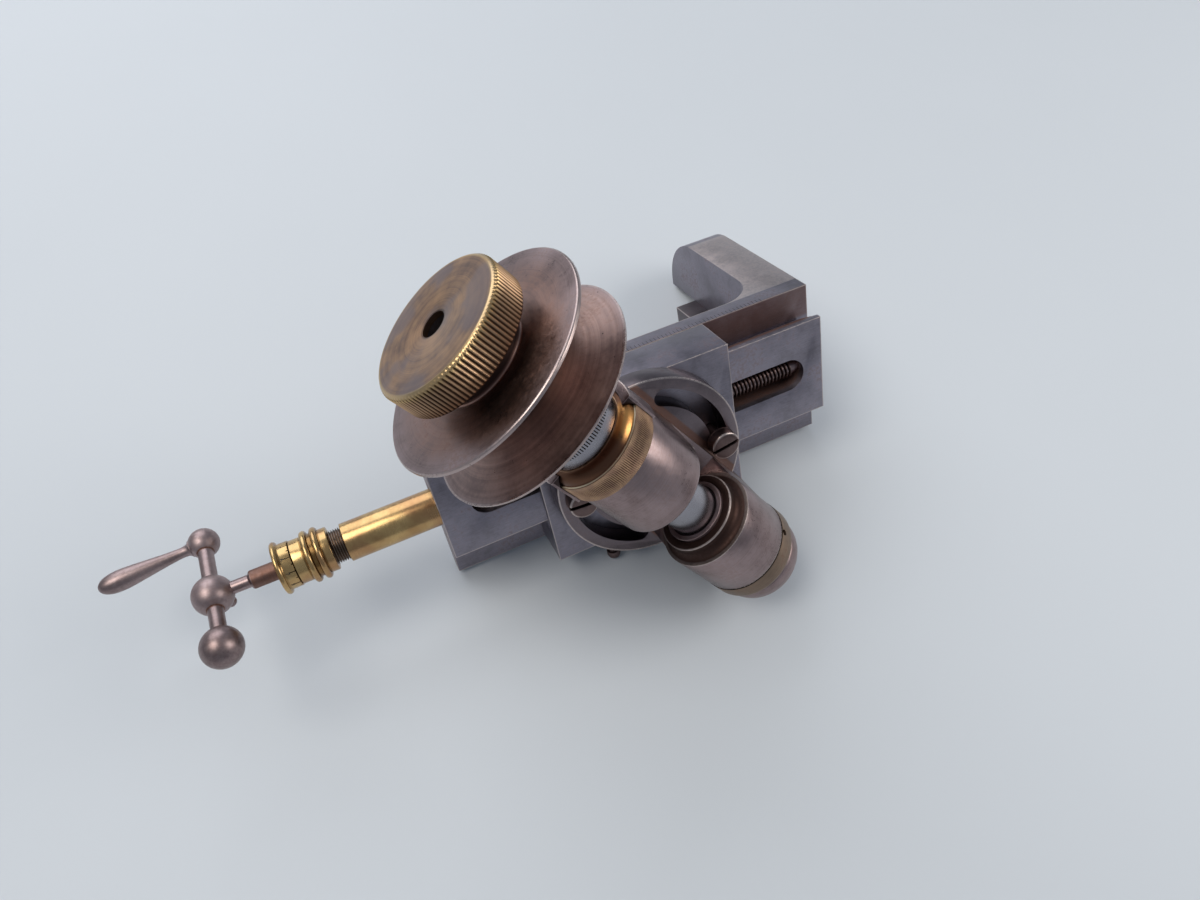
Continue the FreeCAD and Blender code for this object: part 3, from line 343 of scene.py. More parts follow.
def only(piece):
    start()
    piece.select_set(True)
    bpy.context.view_layer.objects.active = piece


def choose(piece, test):
    """Select the vertices that pass a test of their place, and go into edit mode."""
    bpy.ops.object.mode_set(mode="OBJECT")
    mesh = piece.data
    for face in mesh.polygons:
        face.select = False
    for edge in mesh.edges:
        edge.select = False
    for vertex in mesh.vertices:
        vertex.select = bool(test(vertex.co))
    bpy.ops.object.mode_set(mode="EDIT")
    bpy.ops.mesh.select_mode(type="VERT")


def apply(piece, kind, **settings):
    modifier = piece.modifiers.new(kind.title(), kind)
    for key, value in settings.items():
        setattr(modifier, key, value)
    only(piece)
    bpy.ops.object.modifier_apply(modifier=modifier.name)


def wire(corners):
    """Extrude one vertex from corner to corner, each a radius and a station."""
    start()
    bpy.ops.mesh.primitive_plane_add(size=1, location=(0, 0, 0))
    piece = bpy.context.object
    bpy.ops.object.mode_set(mode="EDIT")
    bpy.ops.mesh.select_mode(type="VERT")
    bpy.ops.mesh.select_all(action="SELECT")
    bpy.ops.mesh.merge(type="CENTER")
    bpy.ops.transform.translate(value=(corners[0][0], 0, corners[0][1]))
    for before, after in zip(corners, corners[1:]):
        move = (after[0] - before[0], 0, after[1] - before[1])
        bpy.ops.mesh.extrude_vertices_move(TRANSFORM_OT_translate={"value": move})
    return piece


def profile(outline):
    """Draw half a turned section and round its corners.

    A corner is (radius, station) or (radius, station, rounding)."""
    piece = wire([corner[:2] for corner in outline])
    first, last = outline[0], outline[-1]
    if first[0] > 0 and last[0] > 0:
        choose(piece, lambda co: at_corner(co, first) or at_corner(co, last))
        bpy.ops.mesh.edge_face_add()
    for rounding in sorted({corner[2] for corner in outline if len(corner) == 3}):
        corners = [corner for corner in outline if len(corner) == 3 and corner[2] == rounding]
        choose(piece, lambda co: any(at_corner(co, corner) for corner in corners))
        bpy.ops.mesh.bevel(offset=rounding, segments=3, affect="VERTICES")
    return piece


def at_corner(co, corner):
    return abs(co.x - corner[0]) < 0.002 and abs(co.z - corner[1]) < 0.002


def turned(outline, steps=128):
    """Spin a section about its Z axis into a closed piece."""
    piece = profile(outline)
    bpy.ops.object.mode_set(mode="EDIT")
    bpy.ops.mesh.select_all(action="SELECT")
    bpy.ops.mesh.spin(steps=steps, angle=2 * math.pi, center=(0, 0, 0), axis=(0, 0, 1))
    bpy.ops.mesh.select_all(action="SELECT")
    bpy.ops.mesh.remove_doubles(threshold=0.0005)
    bpy.ops.mesh.normals_make_consistent(inside=False)
    bpy.ops.object.mode_set(mode="OBJECT")
    return piece


def bow(first, last, rise, count=9):
    """Corners along an arc from first to last that stands out by rise to the right of the way."""
    (r0, z0), (r1, z1) = first, last
    span = math.hypot(r1 - r0, z1 - z0)
    across, on = (z1 - z0) / span, -(r1 - r0) / span
    corners = []
    for step in range(count + 1):
        share = step / count
        out = 4 * rise * share * (1 - share)
        corners.append((r0 + (r1 - r0) * share + across * out, z0 + (z1 - z0) * share + on * out))
    return corners


def ball(centre, size, start_angle, end_angle, count=16):
    """Corners round a ball on the axis. The angle counts from the ball's lowest point."""
    corners = []
    for step in range(count + 1):
        angle = math.radians(start_angle + (end_angle - start_angle) * step / count)
        corners.append((max(size * math.sin(angle), 0.0), centre - size * math.cos(angle)))
    return corners


def knurl(piece, ridges, depth, radius, low, high):
    """Press the rim in between its ridges. The piece has four steps to a ridge."""
    def valley(quarter):
        def test(co):
            step = round(math.atan2(co.y, co.x) / (2 * math.pi) * ridges * 4)
            return math.hypot(co.x, co.y) > radius - 0.03 and low < co.z < high and step % 4 in quarter
        return test
    for quarter, share in (((2,), 1.0), ((1, 3), 0.42)):
        choose(piece, valley(quarter))
        shrink = 1 - depth * share / radius
        bpy.ops.transform.resize(value=(shrink, shrink, 1), center_override=(0, 0, 0))
    bpy.ops.object.mode_set(mode="OBJECT")


def cut(piece, tool):
    """Take a second piece out of the first."""
    apply(piece, "BOOLEAN", operation="DIFFERENCE", object=tool, solver="EXACT")
    bpy.data.objects.remove(tool)


def slot_tool(width, long, depth, top):
    """A flat cutter across the Z axis for a driver slot."""
    start()
    bpy.ops.mesh.primitive_cube_add(size=1, location=(0, 0, top - depth / 2 + 1))
    tool = bpy.context.object
    bpy.ops.object.mode_set(mode="EDIT")
    bpy.ops.transform.resize(value=(long, width, depth + 2), center_override=(0, 0, top - depth / 2 + 1))
    bpy.ops.object.mode_set(mode="OBJECT")
    return tool


def rod_tool(radius, near, far, place=Matrix.Identity(4), sides=32):
    start()
    bpy.ops.mesh.primitive_cylinder_add(
        vertices=sides, radius=radius, depth=far - near, location=(0, 0, (near + far) / 2)
    )
    tool = bpy.context.object
    tool.matrix_world = place @ tool.matrix_world
    return tool


def settle(piece, name, place, body, material, slot, *nodes, angle=32):
    """Put a finished piece in its place, give it its finish and hang it on its body."""
    piece.name = name
    piece.data.name = name
    only(piece)
    piece.matrix_world = place @ Matrix.Scale(MM, 4) @ piece.matrix_world
    bpy.ops.object.transform_apply(location=True, rotation=True, scale=True)
    bpy.ops.object.shade_smooth_by_angle(angle=math.radians(angle))
    piece.data.materials.clear()
    piece.data.materials.append(material)
    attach(piece, body)
    if nodes:
        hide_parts(*nodes)
    return piece


def dressed(node, name, body, material, worn):
    """A copy of a CAD piece, joined up and with its edges rounded by wear."""
    only(frame["nodes"][node])
    bpy.ops.object.duplicate()
    piece = bpy.context.object
    for key in list(piece.keys()):
        del piece[key]
    piece.parent = None
    bpy.ops.object.mode_set(mode="EDIT")
    bpy.ops.mesh.select_all(action="SELECT")
    bpy.ops.mesh.remove_doubles(threshold=0.002 * MM)
    bpy.ops.mesh.dissolve_limited(angle_limit=math.radians(0.5))
    bpy.ops.object.mode_set(mode="OBJECT")
    if worn:
        apply(piece, "BEVEL", width=worn, segments=2, limit_method="ANGLE", angle_limit=math.radians(35),
              use_clamp_overlap=True, miter_outer="MITER_ARC")
    piece.name = name
    piece.data.name = name
    only(piece)
    bpy.ops.object.shade_smooth_by_angle(angle=math.radians(32))
    piece.data.materials.clear()
    piece.data.materials.append(material)
    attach(piece, body)
    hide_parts(node)
    return piece


# Finishes of the flat steel pieces

def flat_steel(name, low, high, stain=None, marks=None, seed=0.0, light=None, dark=None, rough=0.40):
    """Ground and brushed steel with worn edges, in the slide's frame."""
    tones = colours()
    paint = Paint(name, SLIDE)
    grain = paint.streaks(0.35, 6.0, 7.0)
    worn = box_edges(paint, low, high) if low else None
    return aged(paint, light or tones.ground, dark or tones.ground_shade, grain, worn=worn,
                stain=stain(paint) if stain else None, marks=marks(paint) if marks else None,
                seed=seed, rough=rough, grain_depth=0.07)


def bed_stain(paint):
    inside = paint.y.rise(0.4, 2.5) * paint.z.near(0, 4.3, 0.2)
    flanks = paint.y.rise(1.4, 4.0) * paint.z.size().rise(8, 9)
    return inside.most(flanks) * 0.9


def bracket_stain(paint):
    return paint.y.near(10.3, 0.25, 0.2) * paint.z.rise(7.5, 8.5) * 0.6


def bracket_marks(paint):
    """Millimetre lines along the front edge of the bracket's top face."""
    line = 1 - ((paint.x + 0.5).fraction() - 0.5).size().rise(0.04, 0.10)
    top = paint.z.rise(15.75, 15.8)
    band = paint.y.near(11.15, 0.7, 0.08)
    ends = paint.x.near(46.0, 42.5, 0.1)
    return line * top * band * ends * 0.7


class FlatPieces(bpy.types.Operator):
    """The bed, the bracket, the clamp block, the saddle, the gib and the feed nut, with worn edges"""
    bl_idname = "attachment.flat_pieces"
    bl_label = "Bed, bracket and saddle"

    def execute(self, context):
        tones = colours()
        worn = sizes().worn_edge
        bed = flat_steel("bed_steel", (0, 0, -12.65), (97.2, 10.3, 12.65), stain=bed_stain, seed=3.0)
        dressed("bed", "bed_dressed", "base", bed, worn)
        bracket = flat_steel("bracket_steel", (0, 10.3, -25.4), (100.3, 14.95, 15.85),
                             stain=bracket_stain, marks=bracket_marks, seed=11.0)
        dressed("bracket", "bracket_dressed", "base", bracket, worn)
        block = flat_steel("block_steel", (83.5, 14.95, -7.95), (100.3, 50.55, -0.55), seed=23.0,
                           light=tones.ground_shade, dark=(0.09, 0.07, 0.065))
        dressed("clamp_block", "clamp_block_dressed", "base", block, worn)
        saddle = flat_steel("saddle_steel", (22.5, -1.66, -24.2), (71.9, 10.18, 15.85), seed=31.0, rough=0.38)
        dressed("saddle", "saddle_dressed", "carriage", saddle, worn * 0.8)
        gib = flat_steel("gib_steel", None, None, seed=5.0)
        dressed("gib_strip", "gib_dressed", "carriage", gib, worn * 0.4)
        nut = Paint("nut_brass", SLIDE)
        nut = aged(nut, tones.old_brass, tones.old_brass_shade, nut.streaks(1, 6, 6), seed=2.0)
        dressed("feed_nut", "feed_nut_dressed", "carriage", nut, worn * 0.5)
        return {"FINISHED"}


class SpindleHead(bpy.types.Operator):
    """The swivel flange with its curved slots, the webs and the two housings"""
    bl_idname = "attachment.spindle_head"
    bl_label = "Spindle head"

    def execute(self, context):
        tones = colours()
        paint = Paint("head_steel", SPINDLE)
        grain = paint.turning(3.0)
        housing = paint.radius.rise(9.4, 9.6) * (1 - paint.radius.rise(12.0, 12.2))
        edges = paint.z.near(-6.8, 0.2, 0.3).most(paint.z.near(9.75, 0.06, 0.16))
        edges = edges.most(paint.z.near(23.5, 0.1, 0.15)).most(paint.z.near(-23.2, 0.1, 0.15)) * housing
        boss = paint.radius.near(9.0, 0.12, 0.2) * paint.z.near(6.35, 0.15, 0.2)
        rim = paint.y.near(-13.45, 0.12, 0.25) * flange_radius(paint).near(22.5, 0.1, 0.3)
        coved = paint.z.near(7.9, 1.75, 0.2)
        stain = coved * paint.radius.rise(7.1, 7.4) * (1 - paint.radius.rise(11.3, 11.5))
        flange = 1 - paint.y.rise(-13.6, -12.6)
        web = paint.x.size().near(11.2, 0.9, 0.6) * paint.y.near(-12.8, 0.8, 0.5)
        stain = stain.most(flange * 0.12).most(web * 0.8)
        lip = paint.radius.near(11.9, 0.08, 0.12) * paint.z.near(-31.15, 0.08, 0.12)
        # Painted shade: the rear housing's cove, the mouths of the bushes and the hollow inside the guard are
        # darkened towards near black.
        cove = coved * paint.radius.near(9.2, 2.0, 0.1)
        bushes = (1 - paint.radius.rise(7.25, 7.6)) * paint.z.near(7.0, 1.0, 0.2)
        inside = (1 - paint.radius.rise(11.5, 11.56)) * paint.z.near(-27.2, 3.85, 0.05)
        hollow_shade = (cove * 0.84).most(bushes * 0.9).most(inside * 0.9)
        light = paint.mix(tones.steel, tones.ground_shade, flange)
        dark = paint.mix(tones.steel_shade, (0.10, 0.09, 0.10), flange)
        worn = edges.most(boss).most(rim).most(lip)
        material = aged(paint, light, dark, grain, worn=worn, stain=stain, grime=hollow_shade,
                        seed=41.0, patch=0.10, rough=0.31, mottle=0.7, grain_depth=0.05)
        dressed("spindle_head", "spindle_head_dressed", "head", material, sizes().worn_edge)
        return {"FINISHED"}


def flange_radius(paint):
    """Distance from the swivel's own axis."""
    return (paint.x * paint.x + paint.z * paint.z).math("SQRT")


WASHER_FACE = -7.27
SCREW_TONES = ((0.22, 0.155, 0.145), (0.095, 0.064, 0.06))


class Screws(bpy.types.Operator):
    """The clamp screws and washers, the pivot screw, the gib screws and nuts, the small screws"""
    bl_idname = "attachment.screws"
    bl_label = "Screws"

    def execute(self, context):
        for name, finish, x, angle in (
            ("clamp_screw_left", "clamp_screw_steel_left", 29.5, -4.0),
            ("clamp_screw_right", "clamp_screw_steel", 64.9, 9.0),
        ):
            piece = turned([
                (0, -6.8), (1.62, -6.8, 0.2), (1.62, 0), (3.42, 0, 0.08), (3.42, 2.5, 0.32),
                *bow((2.2, 2.58), (0, 2.62), -0.01, 2),
            ], 64)
            cut(piece, slot_tool(0.85, 8, 1.15, 2.6))
            apply(piece, "BEVEL", width=0.09, segments=2, limit_method="ANGLE", angle_limit=math.radians(50))
            paint = Paint(finish, face_frame(x, WASHER_FACE, SWIVEL_HEIGHT))
            rim = paint.radius.near(3.3, 0.1, 0.3) * paint.z.rise(1.9, 2.3)
            # Painted shade: the driver slot is darkened towards near black.
            slot = (paint.z.near(1.7, 0.35, 0.2) * (1 - paint.radius.rise(3.2, 3.3))) * 0.9
            material = aged(paint, *SCREW_TONES, paint.turning(6.0), worn=rim, grime=slot, seed=7.0)
            place = face_frame(x, WASHER_FACE, SWIVEL_HEIGHT, angle)
            settle(piece, name, place, "carriage", material, "screw_steel")
        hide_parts("clamp_screws")
        small = Paint("small_screw_steel", SLIDE)
        small = aged(small, *SCREW_TONES, small.noise(3.0), seed=9.0)
        for body, nodes in (
            ("carriage", ("clamp_washers", "pivot_screw", "gib_screws", "gib_locknuts", "nut_screws")),
            ("base", ("bed_screws", "block_screws")),
        ):
            for node in nodes:
                dressed(node, f"{node}_dressed", body, small, 0.1 * MM)
        return {"FINISHED"}


# Turned pieces of the spindle

def turned_steel(name, place, light, dark, worn=None, stain=None, grime=None, marks=None, fine=4.0, **how):
    paint = Paint(name, place)
    masks = {"worn": worn, "stain": stain, "grime": grime, "marks": marks}
    masks = {key: mask(paint) for key, mask in masks.items() if mask}
    return aged(paint, light, dark, paint.turning(fine), **masks, **how)


class Pulley(bpy.types.Operator):
    """The grooved pulley with its set screw and the index collar behind it"""
    bl_idname = "attachment.pulley"
    bl_label = "Pulley and index collar"

    def execute(self, context):
        tones = colours()
        section = [
            *bow((22.98, -57.55), (12.6, -53.5), -0.95, 12),
            *bow((12.6, -53.5), (12.6, -50.5), -0.9, 6)[1:],
            *bow((12.6, -50.5), (22.98, -46.4), -0.95, 12)[1:],
        ]
        piece = turned([
            (5.6, -60.5), (9.4, -60.5, 0.2), (9.4, -57.5, 0.5), (22.7, -58.3, 0.15), (22.98, -58.05, 0.1),
            *section,
            (22.98, -45.95, 0.1), (22.7, -45.7, 0.15), (5.6, -45.7),
        ], 224)
        cut(piece, rod_tool(0.72, 5.8, 10, turn(90, "Y"), 16))

        paint = Paint("pulley_steel", SPINDLE)
        worn = paint.radius.rise(22.5, 22.8) * 0.55
        groove = paint.z.near(-52, 4.5, 0.5)
        front = 1 - paint.z.rise(-58.5, -57.6)
        root = (1 - paint.radius.rise(13.0, 15.5)) * groove
        hub = (1 - paint.radius.rise(14.0, 16.5)) * front
        # Brown patina at the groove's root, and painted shade at the hub under the knob.
        stain = root.most(hub) * 0.6
        # Painted shade: the groove's root and the hub under the knob are darkened towards near black.
        root = (1 - paint.radius.rise(11.6, 13.5)) * groove * 0.6
        hub = (1 - paint.radius.rise(12.5, 15.0)) * front * 0.92
        grime = root.most(hub)
        sweep = paint.noise(0.09, 2.0, 0.5, paint.vector(paint.x, paint.y, 0.0))
        touched = (1 - paint.radius.rise(17.0, 22.5)) * (0.25 + sweep)
        light = paint.mix(tones.steel, tones.handled, touched)
        # Painted light: the inner walls of the groove are lightened to a warm pink, as where light falls on
        # them.
        lit_groove_walls = paint.z.near(-52, 5.4, 0.3) * (1 - paint.radius.rise(22.3, 22.6))
        light = paint.mix(light, (0.56, 0.39, 0.34), lit_groove_walls * 0.7)
        steel = aged(paint, light, tones.steel_shade, paint.turning(1.6), worn, stain, grime,
                     seed=17.0, patch=0.085, specks=0.70, rough=lit_groove_walls * 0.12 + 0.32)
        settle(piece, "pulley_turned", SPINDLE, "rotor", steel, "pulley_steel",
               "pulley_front_half", "pulley_rear_half")
        small = Paint("set_screw_steel", SLIDE)
        small = aged(small, tones.steel_shade, (0.08, 0.06, 0.05), small.noise(3.0))
        dressed("pulley_screw", "pulley_screw_dressed", "rotor", small, 0.08 * MM)
        collar = turned([(5.62, -45.7), (8.8, -45.7), (8.8, -31.5, 0.35), (5.62, -31.5)])
        count = sizes().collar_lines

        def marks(paint):
            return paint.lines(count, -45.7, -34.2, 0.14) * paint.radius.rise(8.6, 8.7)

        bright = turned_steel("collar_steel", SPINDLE, tones.polish, (0.27, 0.26, 0.29), marks=marks,
                              fine=6.0, rough=0.27, rough_spread=0.06, seed=2.0, grain_depth=0.02, mottle=0.4)
        settle(collar, "index_collar_turned", SPINDLE, "rotor", bright, "collar_steel", "index_collar")
        return {"FINISHED"}


class DrawKnob(bpy.types.Operator):
    """The draw knob with its knurled rim and turned face, and the hollow drawbar"""
    bl_idname = "attachment.draw_knob"
    bl_label = "Draw knob"

    def execute(self, context):
        tones = colours()
        ridges = sizes().knob_ridges
        depth = sizes().knob_knurl / MM
        radius = 14.56
        piece = turned([
            (2.65, -68.62), (2.85, -68.68), (13.5, -68.68, 0.25), (13.85, -68.66), (14.24, -68.4),
            (radius, -68.0), (radius, -66.4), (radius, -64.6), (radius, -62.35), (14.24, -61.95),
            (13.9, -61.74, 0.2), (6.4, -61.7), (6.4, -60.68), (3.3, -60.68), (3.3, -67.5), (2.65, -67.5),
        ], ridges * 4)
        knurl(piece, ridges, depth, radius, -68.2, -62.1)
        paint = Paint("knob_brass", SPINDLE)
        rings = paint.turning(7.0)
        coarse = paint.noise(1.0, 2.0, 0.5, paint.vector(paint.radius * 0.9, 0.0, 0.0))
        face = 1 - paint.z.rise(-68.6, -68.3)
        rim = paint.radius.rise(13.3, 13.9) * (1 - paint.z.rise(-67.9, -67.4))
        depths = 1 - paint.radius.rise(radius - depth * 0.75, radius - depth * 0.1)
        side = paint.radius.rise(14.0, 14.1) * paint.z.rise(-68.3, -67.8)
        groove = side * depths
        centre = (1 - paint.radius.rise(2.7, 3.2)) * face
        sweep = paint.noise(0.16, 3.0, 0.6)
        cloud = (sweep * 0.8 + rings * 0.45 + coarse * 0.45).rise(0.55, 1.10)
        gold = paint.mix(tones.old_brass_shade, tones.old_brass, cloud)
        cool = paint.noise(0.13, 2.0, 0.5, paint.moved(4.0, 9.0, 2.0))
        gold = paint.mix(gold, (0.24, 0.185, 0.18), cool.rise(0.46, 0.62) * 0.7 * face)
        gold = paint.mix(gold, (0.62, 0.41, 0.25), (side * (1 - depths)) * 0.75)
        front = side * (1 - paint.z.rise(-67.6, -66.4))
        gold = paint.mix(gold, tones.brass, front * 0.3)
        gold = paint.mix(gold, (0.70, 0.50, 0.24), rim * 0.6)
        # Painted shade: the knurl's grooves and the face round the bore are darkened towards near black.
        gold = paint.mix(gold, (0.045, 0.024, 0.015), (groove * 0.9).most(centre * 0.7))
        height = rings * 0.10 + coarse * 0.14
        bump = paint.node("ShaderNodeBump", {}, {"Strength": 0.5, "Distance": 0.0001, "Height": height})
        roughness = 0.36 + (rings - 0.5) * 0.2 + groove * 0.3 - rim * 0.06
        brass = paint.done(base_color=gold, roughness=roughness.most(0.1), normal=bump)
        settle(piece, "draw_knob_turned", SPINDLE, "draw", brass, "knob_brass", "draw_knob")
        bar = turned([(2.65, -67.5), (3.28, -67.5), (3.28, 12.3, 0.2), (2.65, 12.3)], 48)
        bright = turned_steel("bar_steel", SPINDLE, tones.polish, tones.steel_shade, seed=4.0)
        settle(bar, "drawbar_turned", SPINDLE, "draw", bright, "bush_steel", "drawbar")
        return {"FINISHED"}


NOTCH_ANGLE = 54


class Rings(bpy.types.Operator):
    """The knurled adjusting ring, the end ring with its spanner notch, and the two bushes"""
    bl_idname = "attachment.rings"
    bl_label = "Rings and bushes"

    def execute(self, context):
        tones = colours()
        ridges = sizes().ring_ridges
        depth = sizes().ring_knurl / MM
        radius = 11.38
        piece = turned([
            (6.05, -31.35), (8.9, -31.38, 0.15), *bow((9.15, -31.15), (10.85, -29.15), 0.42, 8),
            (11.1, -28.92, 0.06), (radius, -28.75), (radius, -27), (radius, -25.4), (radius, -23.55),
            (11.15, -23.32), (7.1, -23.32), (7.1, -28.88), (6.05, -28.88),
        ], ridges * 4)
        knurl(piece, ridges, depth, radius, -28.6, -23.7)
        paint = Paint("ring_bronze", SPINDLE)
        depths = 1 - paint.radius.rise(radius - depth, radius - depth * 0.1)
        groove = paint.radius.rise(11.15, 11.2) * depths
        shaded_neck = (1 - paint.z.rise(-29.1, -28.9)) * paint.radius.rise(8.8, 9.1)
        tone = paint.mix((0.36, 0.215, 0.145), (0.52, 0.33, 0.20), paint.noise(0.5).rise(0.3, 0.7))
        # Painted shade: the concave neck is darkened to a dark brown.
        tone = paint.mix(tone, (0.12, 0.058, 0.035), shaded_neck)
        # Painted highlight: a golden glint on one side of the neck.
        painted_glint = paint.turns.near(0.115, 0.02, 0.06) * paint.noise(0.6).rise(0.25, 0.5)
        tone = paint.mix(tone, (0.72, 0.36, 0.12), shaded_neck * painted_glint)
        # Painted shade: the knurl's grooves are darkened towards near black.
        tone = paint.mix(tone, (0.035, 0.018, 0.012), groove * 0.95)
        lip = paint.radius.near(11.15, 0.06, 0.08) * (1 - paint.z.rise(-28.7, -28.6))
        tone = paint.mix(tone, (0.80, 0.68, 0.48), lip)
        rings = paint.turning(7.0)
        bump = paint.node("ShaderNodeBump", {}, {"Strength": 0.5, "Distance": 0.0001, "Height": rings * 0.1})
        roughness = 0.34 + groove * 0.3 + (rings - 0.5) * 0.15
        bronze = paint.done(base_color=tone, roughness=roughness, normal=bump)
        settle(piece, "adjusting_ring_turned", SPINDLE, "head", bronze, "ring_bronze", "adjusting_ring")
        ring = turned([
            (7.1, 23.62), (11.28, 23.62, 0.12), (11.28, 27.2), *bow((11.28, 27.2), (10.6, 28.58), 0.12, 4),
            (6.05, 28.58), (6.05, 27.0), (7.1, 27.0),
        ], 160)
        place = Matrix.Translation((0, 0, 24.5)) @ turn(90 - NOTCH_ANGLE, "Z") @ turn(90, "Y")
        cut(ring, rod_tool(0.7, 9.4, 13, place, 24))

        def seam(paint):
            return (1 - paint.z.rise(23.7, 23.85)) * 0.9

        tan = turned_steel("end_ring_steel", SPINDLE, (0.30, 0.215, 0.155), (0.17, 0.12, 0.09),
                           marks=seam, seed=13.0, rough=0.44, fine=2.5)
        settle(ring, "end_ring_turned", SPINDLE, "head", tan, "end_ring_steel", "end_ring")

        # Painted shade: the bore's mouth is darkened towards near black.
        def mouth(paint):
            return (1 - paint.radius.rise(5.95, 6.1)) * 0.95

        bright = turned_steel("bush_steel", SPINDLE, tones.steel, tones.steel_shade, grime=mouth, seed=19.0)
        for node, low, high in (("front_bush", -28.9, -6.6), ("rear_bush", 5.5, 26.96)):
            bush = turned([(5.64, low, 0.12), (7.04, low, 0.12), (7.04, high, 0.12), (5.64, high, 0.12)], 96)
            settle(bush, f"{node}_turned", SPINDLE, "head", bright, "bush_steel", node)
        return {"FINISHED"}


class Spindle(bpy.types.Operator):
    """The hollow spindle and the rounded cap on its nose"""
    bl_idname = "attachment.spindle"
    bl_label = "Spindle and nose"

    def execute(self, context):
        tones = colours()
        spindle = turned([
            (3.33, -60.58), (5.6, -60.58, 0.15), (5.6, 34.55, 0.12), (5.0, 34.55), (4.0, 32.6),
            (4.0, 12.6), (3.33, 12.6),
        ])

        def handled(paint):
            return (1 - paint.radius.rise(5.0, 5.2)) * 0.9

        steel = turned_steel("spindle_steel", SPINDLE, tones.polish, (0.28, 0.27, 0.29), stain=handled,
                             seed=29.0, rough=0.24, rough_spread=0.02, grain_depth=0.0, mottle=0.2, fine=5.0)
        settle(spindle, "spindle_turned", SPINDLE, "rotor", steel, "spindle_steel", "spindle")
        cap = turned([
            (5.62, 28.72), (9.9, 28.72), *bow((9.9, 28.72), (10.38, 29.5), 0.12, 3)[1:],
            *bow((10.38, 29.5), (9.1, 33.8), 0.42, 8)[1:], *bow((9.1, 33.8), (8.1, 34.55), 0.14, 4)[1:],
            (5.62, 34.55),
        ], 160)

        def worn(paint):
            return paint.radius.near(9.0, 0.25, 0.5) * paint.z.rise(33.0, 33.9) * 0.6

        nose = turned_steel("nose_steel", SPINDLE, tones.steel, tones.steel_shade, worn, seed=37.0,
                            rough=0.40)
        settle(cap, "nose_cap_turned", SPINDLE, "rotor", nose, "nose_steel", "nose_cap")
        return {"FINISHED"}


# The feed screw and its fittings

def threaded(pitch, crest, root, low, high, steps=32):
    """A screw thread: one tooth of the section, wound along the axis by a screw modifier."""
    tooth = ((root, 0.0), (root, 0.12), (crest, 0.42), (crest, 0.58), (root, 0.88), (root, 1.0))
    piece = wire([(radius, low + share * pitch) for radius, share in tooth])
    bpy.ops.object.mode_set(mode="OBJECT")
    turns = int((high - low) / pitch) - 1
    apply(piece, "SCREW", angle=2 * math.pi, screw_offset=pitch, iterations=turns, steps=steps,
          render_steps=steps, axis="Z", use_merge_vertices=True, merge_threshold=0.0005)
    bpy.ops.object.mode_set(mode="EDIT")
    bpy.ops.mesh.select_all(action="DESELECT")
    bpy.ops.mesh.select_mode(type="EDGE")
    bpy.ops.mesh.select_non_manifold()
    bpy.ops.mesh.fill_holes(sides=0)
    bpy.ops.mesh.select_all(action="SELECT")
    bpy.ops.mesh.normals_make_consistent(inside=False)
    bpy.ops.object.mode_set(mode="OBJECT")
    return piece


class FeedScrew(bpy.types.Operator):
    """The feed screw with its wound thread, its shaft and its necks"""
    bl_idname = "attachment.feed_screw"
    bl_label = "Feed screw"

    def execute(self, context):
        tones = colours()

        def crests(paint):
            return paint.radius.rise(2.25, 2.38) * 0.08

        # Painted shade: the thread's roots are darkened towards near black.
        def roots(paint):
            return (1 - paint.radius.rise(1.90, 2.30)) * paint.z.rise(4.0, 4.5) * 0.95

        steel = turned_steel("thread_steel", FEED, (0.16, 0.105, 0.095), (0.07, 0.045, 0.04), crests,
                             grime=roots, seed=43.0)
        thread = threaded(sizes().thread_pitch / MM, 2.4, 1.82, 4.2, 90.9)
        settle(thread, "feed_thread", FEED, "feed", steel, "shaft_steel", angle=25)
        shaft = turned([
            (0, -50.3), (1.4, -50.3), (1.4, -41.2, 0.2), (2.05, -40.8, 0.25), (2.05, -29.5), (2.9, -29.5),
            (2.9, -28.1), (2.05, -28.1), (2.05, 4.0), (1.9, 4.4), (1.83, 4.6), (1.83, 90.9),
            (1.6, 91.0), (1.6, 94.4, 0.2), (0, 94.4),
        ], 64)

        def brown(paint):
            return paint.z.near(-37.2, 3.3, 0.3) * 0.85

        steel = turned_steel("shaft_steel", FEED, tones.steel, tones.steel_shade, None, brown, seed=47.0,
                             rough=0.34)
        settle(shaft, "feed_shaft", FEED, "feed", steel, "shaft_steel", "leadscrew")
        return {"FINISHED"}


def gold(paint, marks=None, stain=None, seed=0.0, rough=0.26):
    """Bright turned brass, a little tarnished."""
    tones = colours()
    shifted = paint.moved(seed, -seed, seed)
    cloud = paint.noise(0.18, 4.0, 0.6, shifted)
    fine = paint.noise(2.2, 5.0, 0.7, shifted)
    rings = paint.turning(6.0)
    share = (cloud * 0.9 + fine * 0.2 + rings * 0.1).rise(0.38, 0.76)
    base = paint.mix(tones.brass_shade, tones.brass, share)
    tarnish = paint.noise(0.11, 2.0, 0.5, shifted).rise(0.46, 0.62)
    base = paint.mix(base, (0.38, 0.19, 0.10), tarnish * 0.6)
    if stain is not None:
        base = paint.mix(base, (0.20, 0.10, 0.03), stain * (0.4 + fine))
    roughness = rough + (rings - 0.5) * 0.08 + (cloud - 0.5) * 0.10
    height = rings * 0.04 + fine * 0.03
    if marks is not None:
        base = paint.mix(base, tones.engraving, marks)
        roughness = roughness + marks * 0.3
        height = height - marks * 0.5
    bump = paint.node("ShaderNodeBump", {}, {"Strength": 0.5, "Distance": 0.0001, "Height": height})
    return paint.done(base_color=base, roughness=roughness.most(0.08), normal=bump)


BEAD = 0.72
DATUM = 0.5


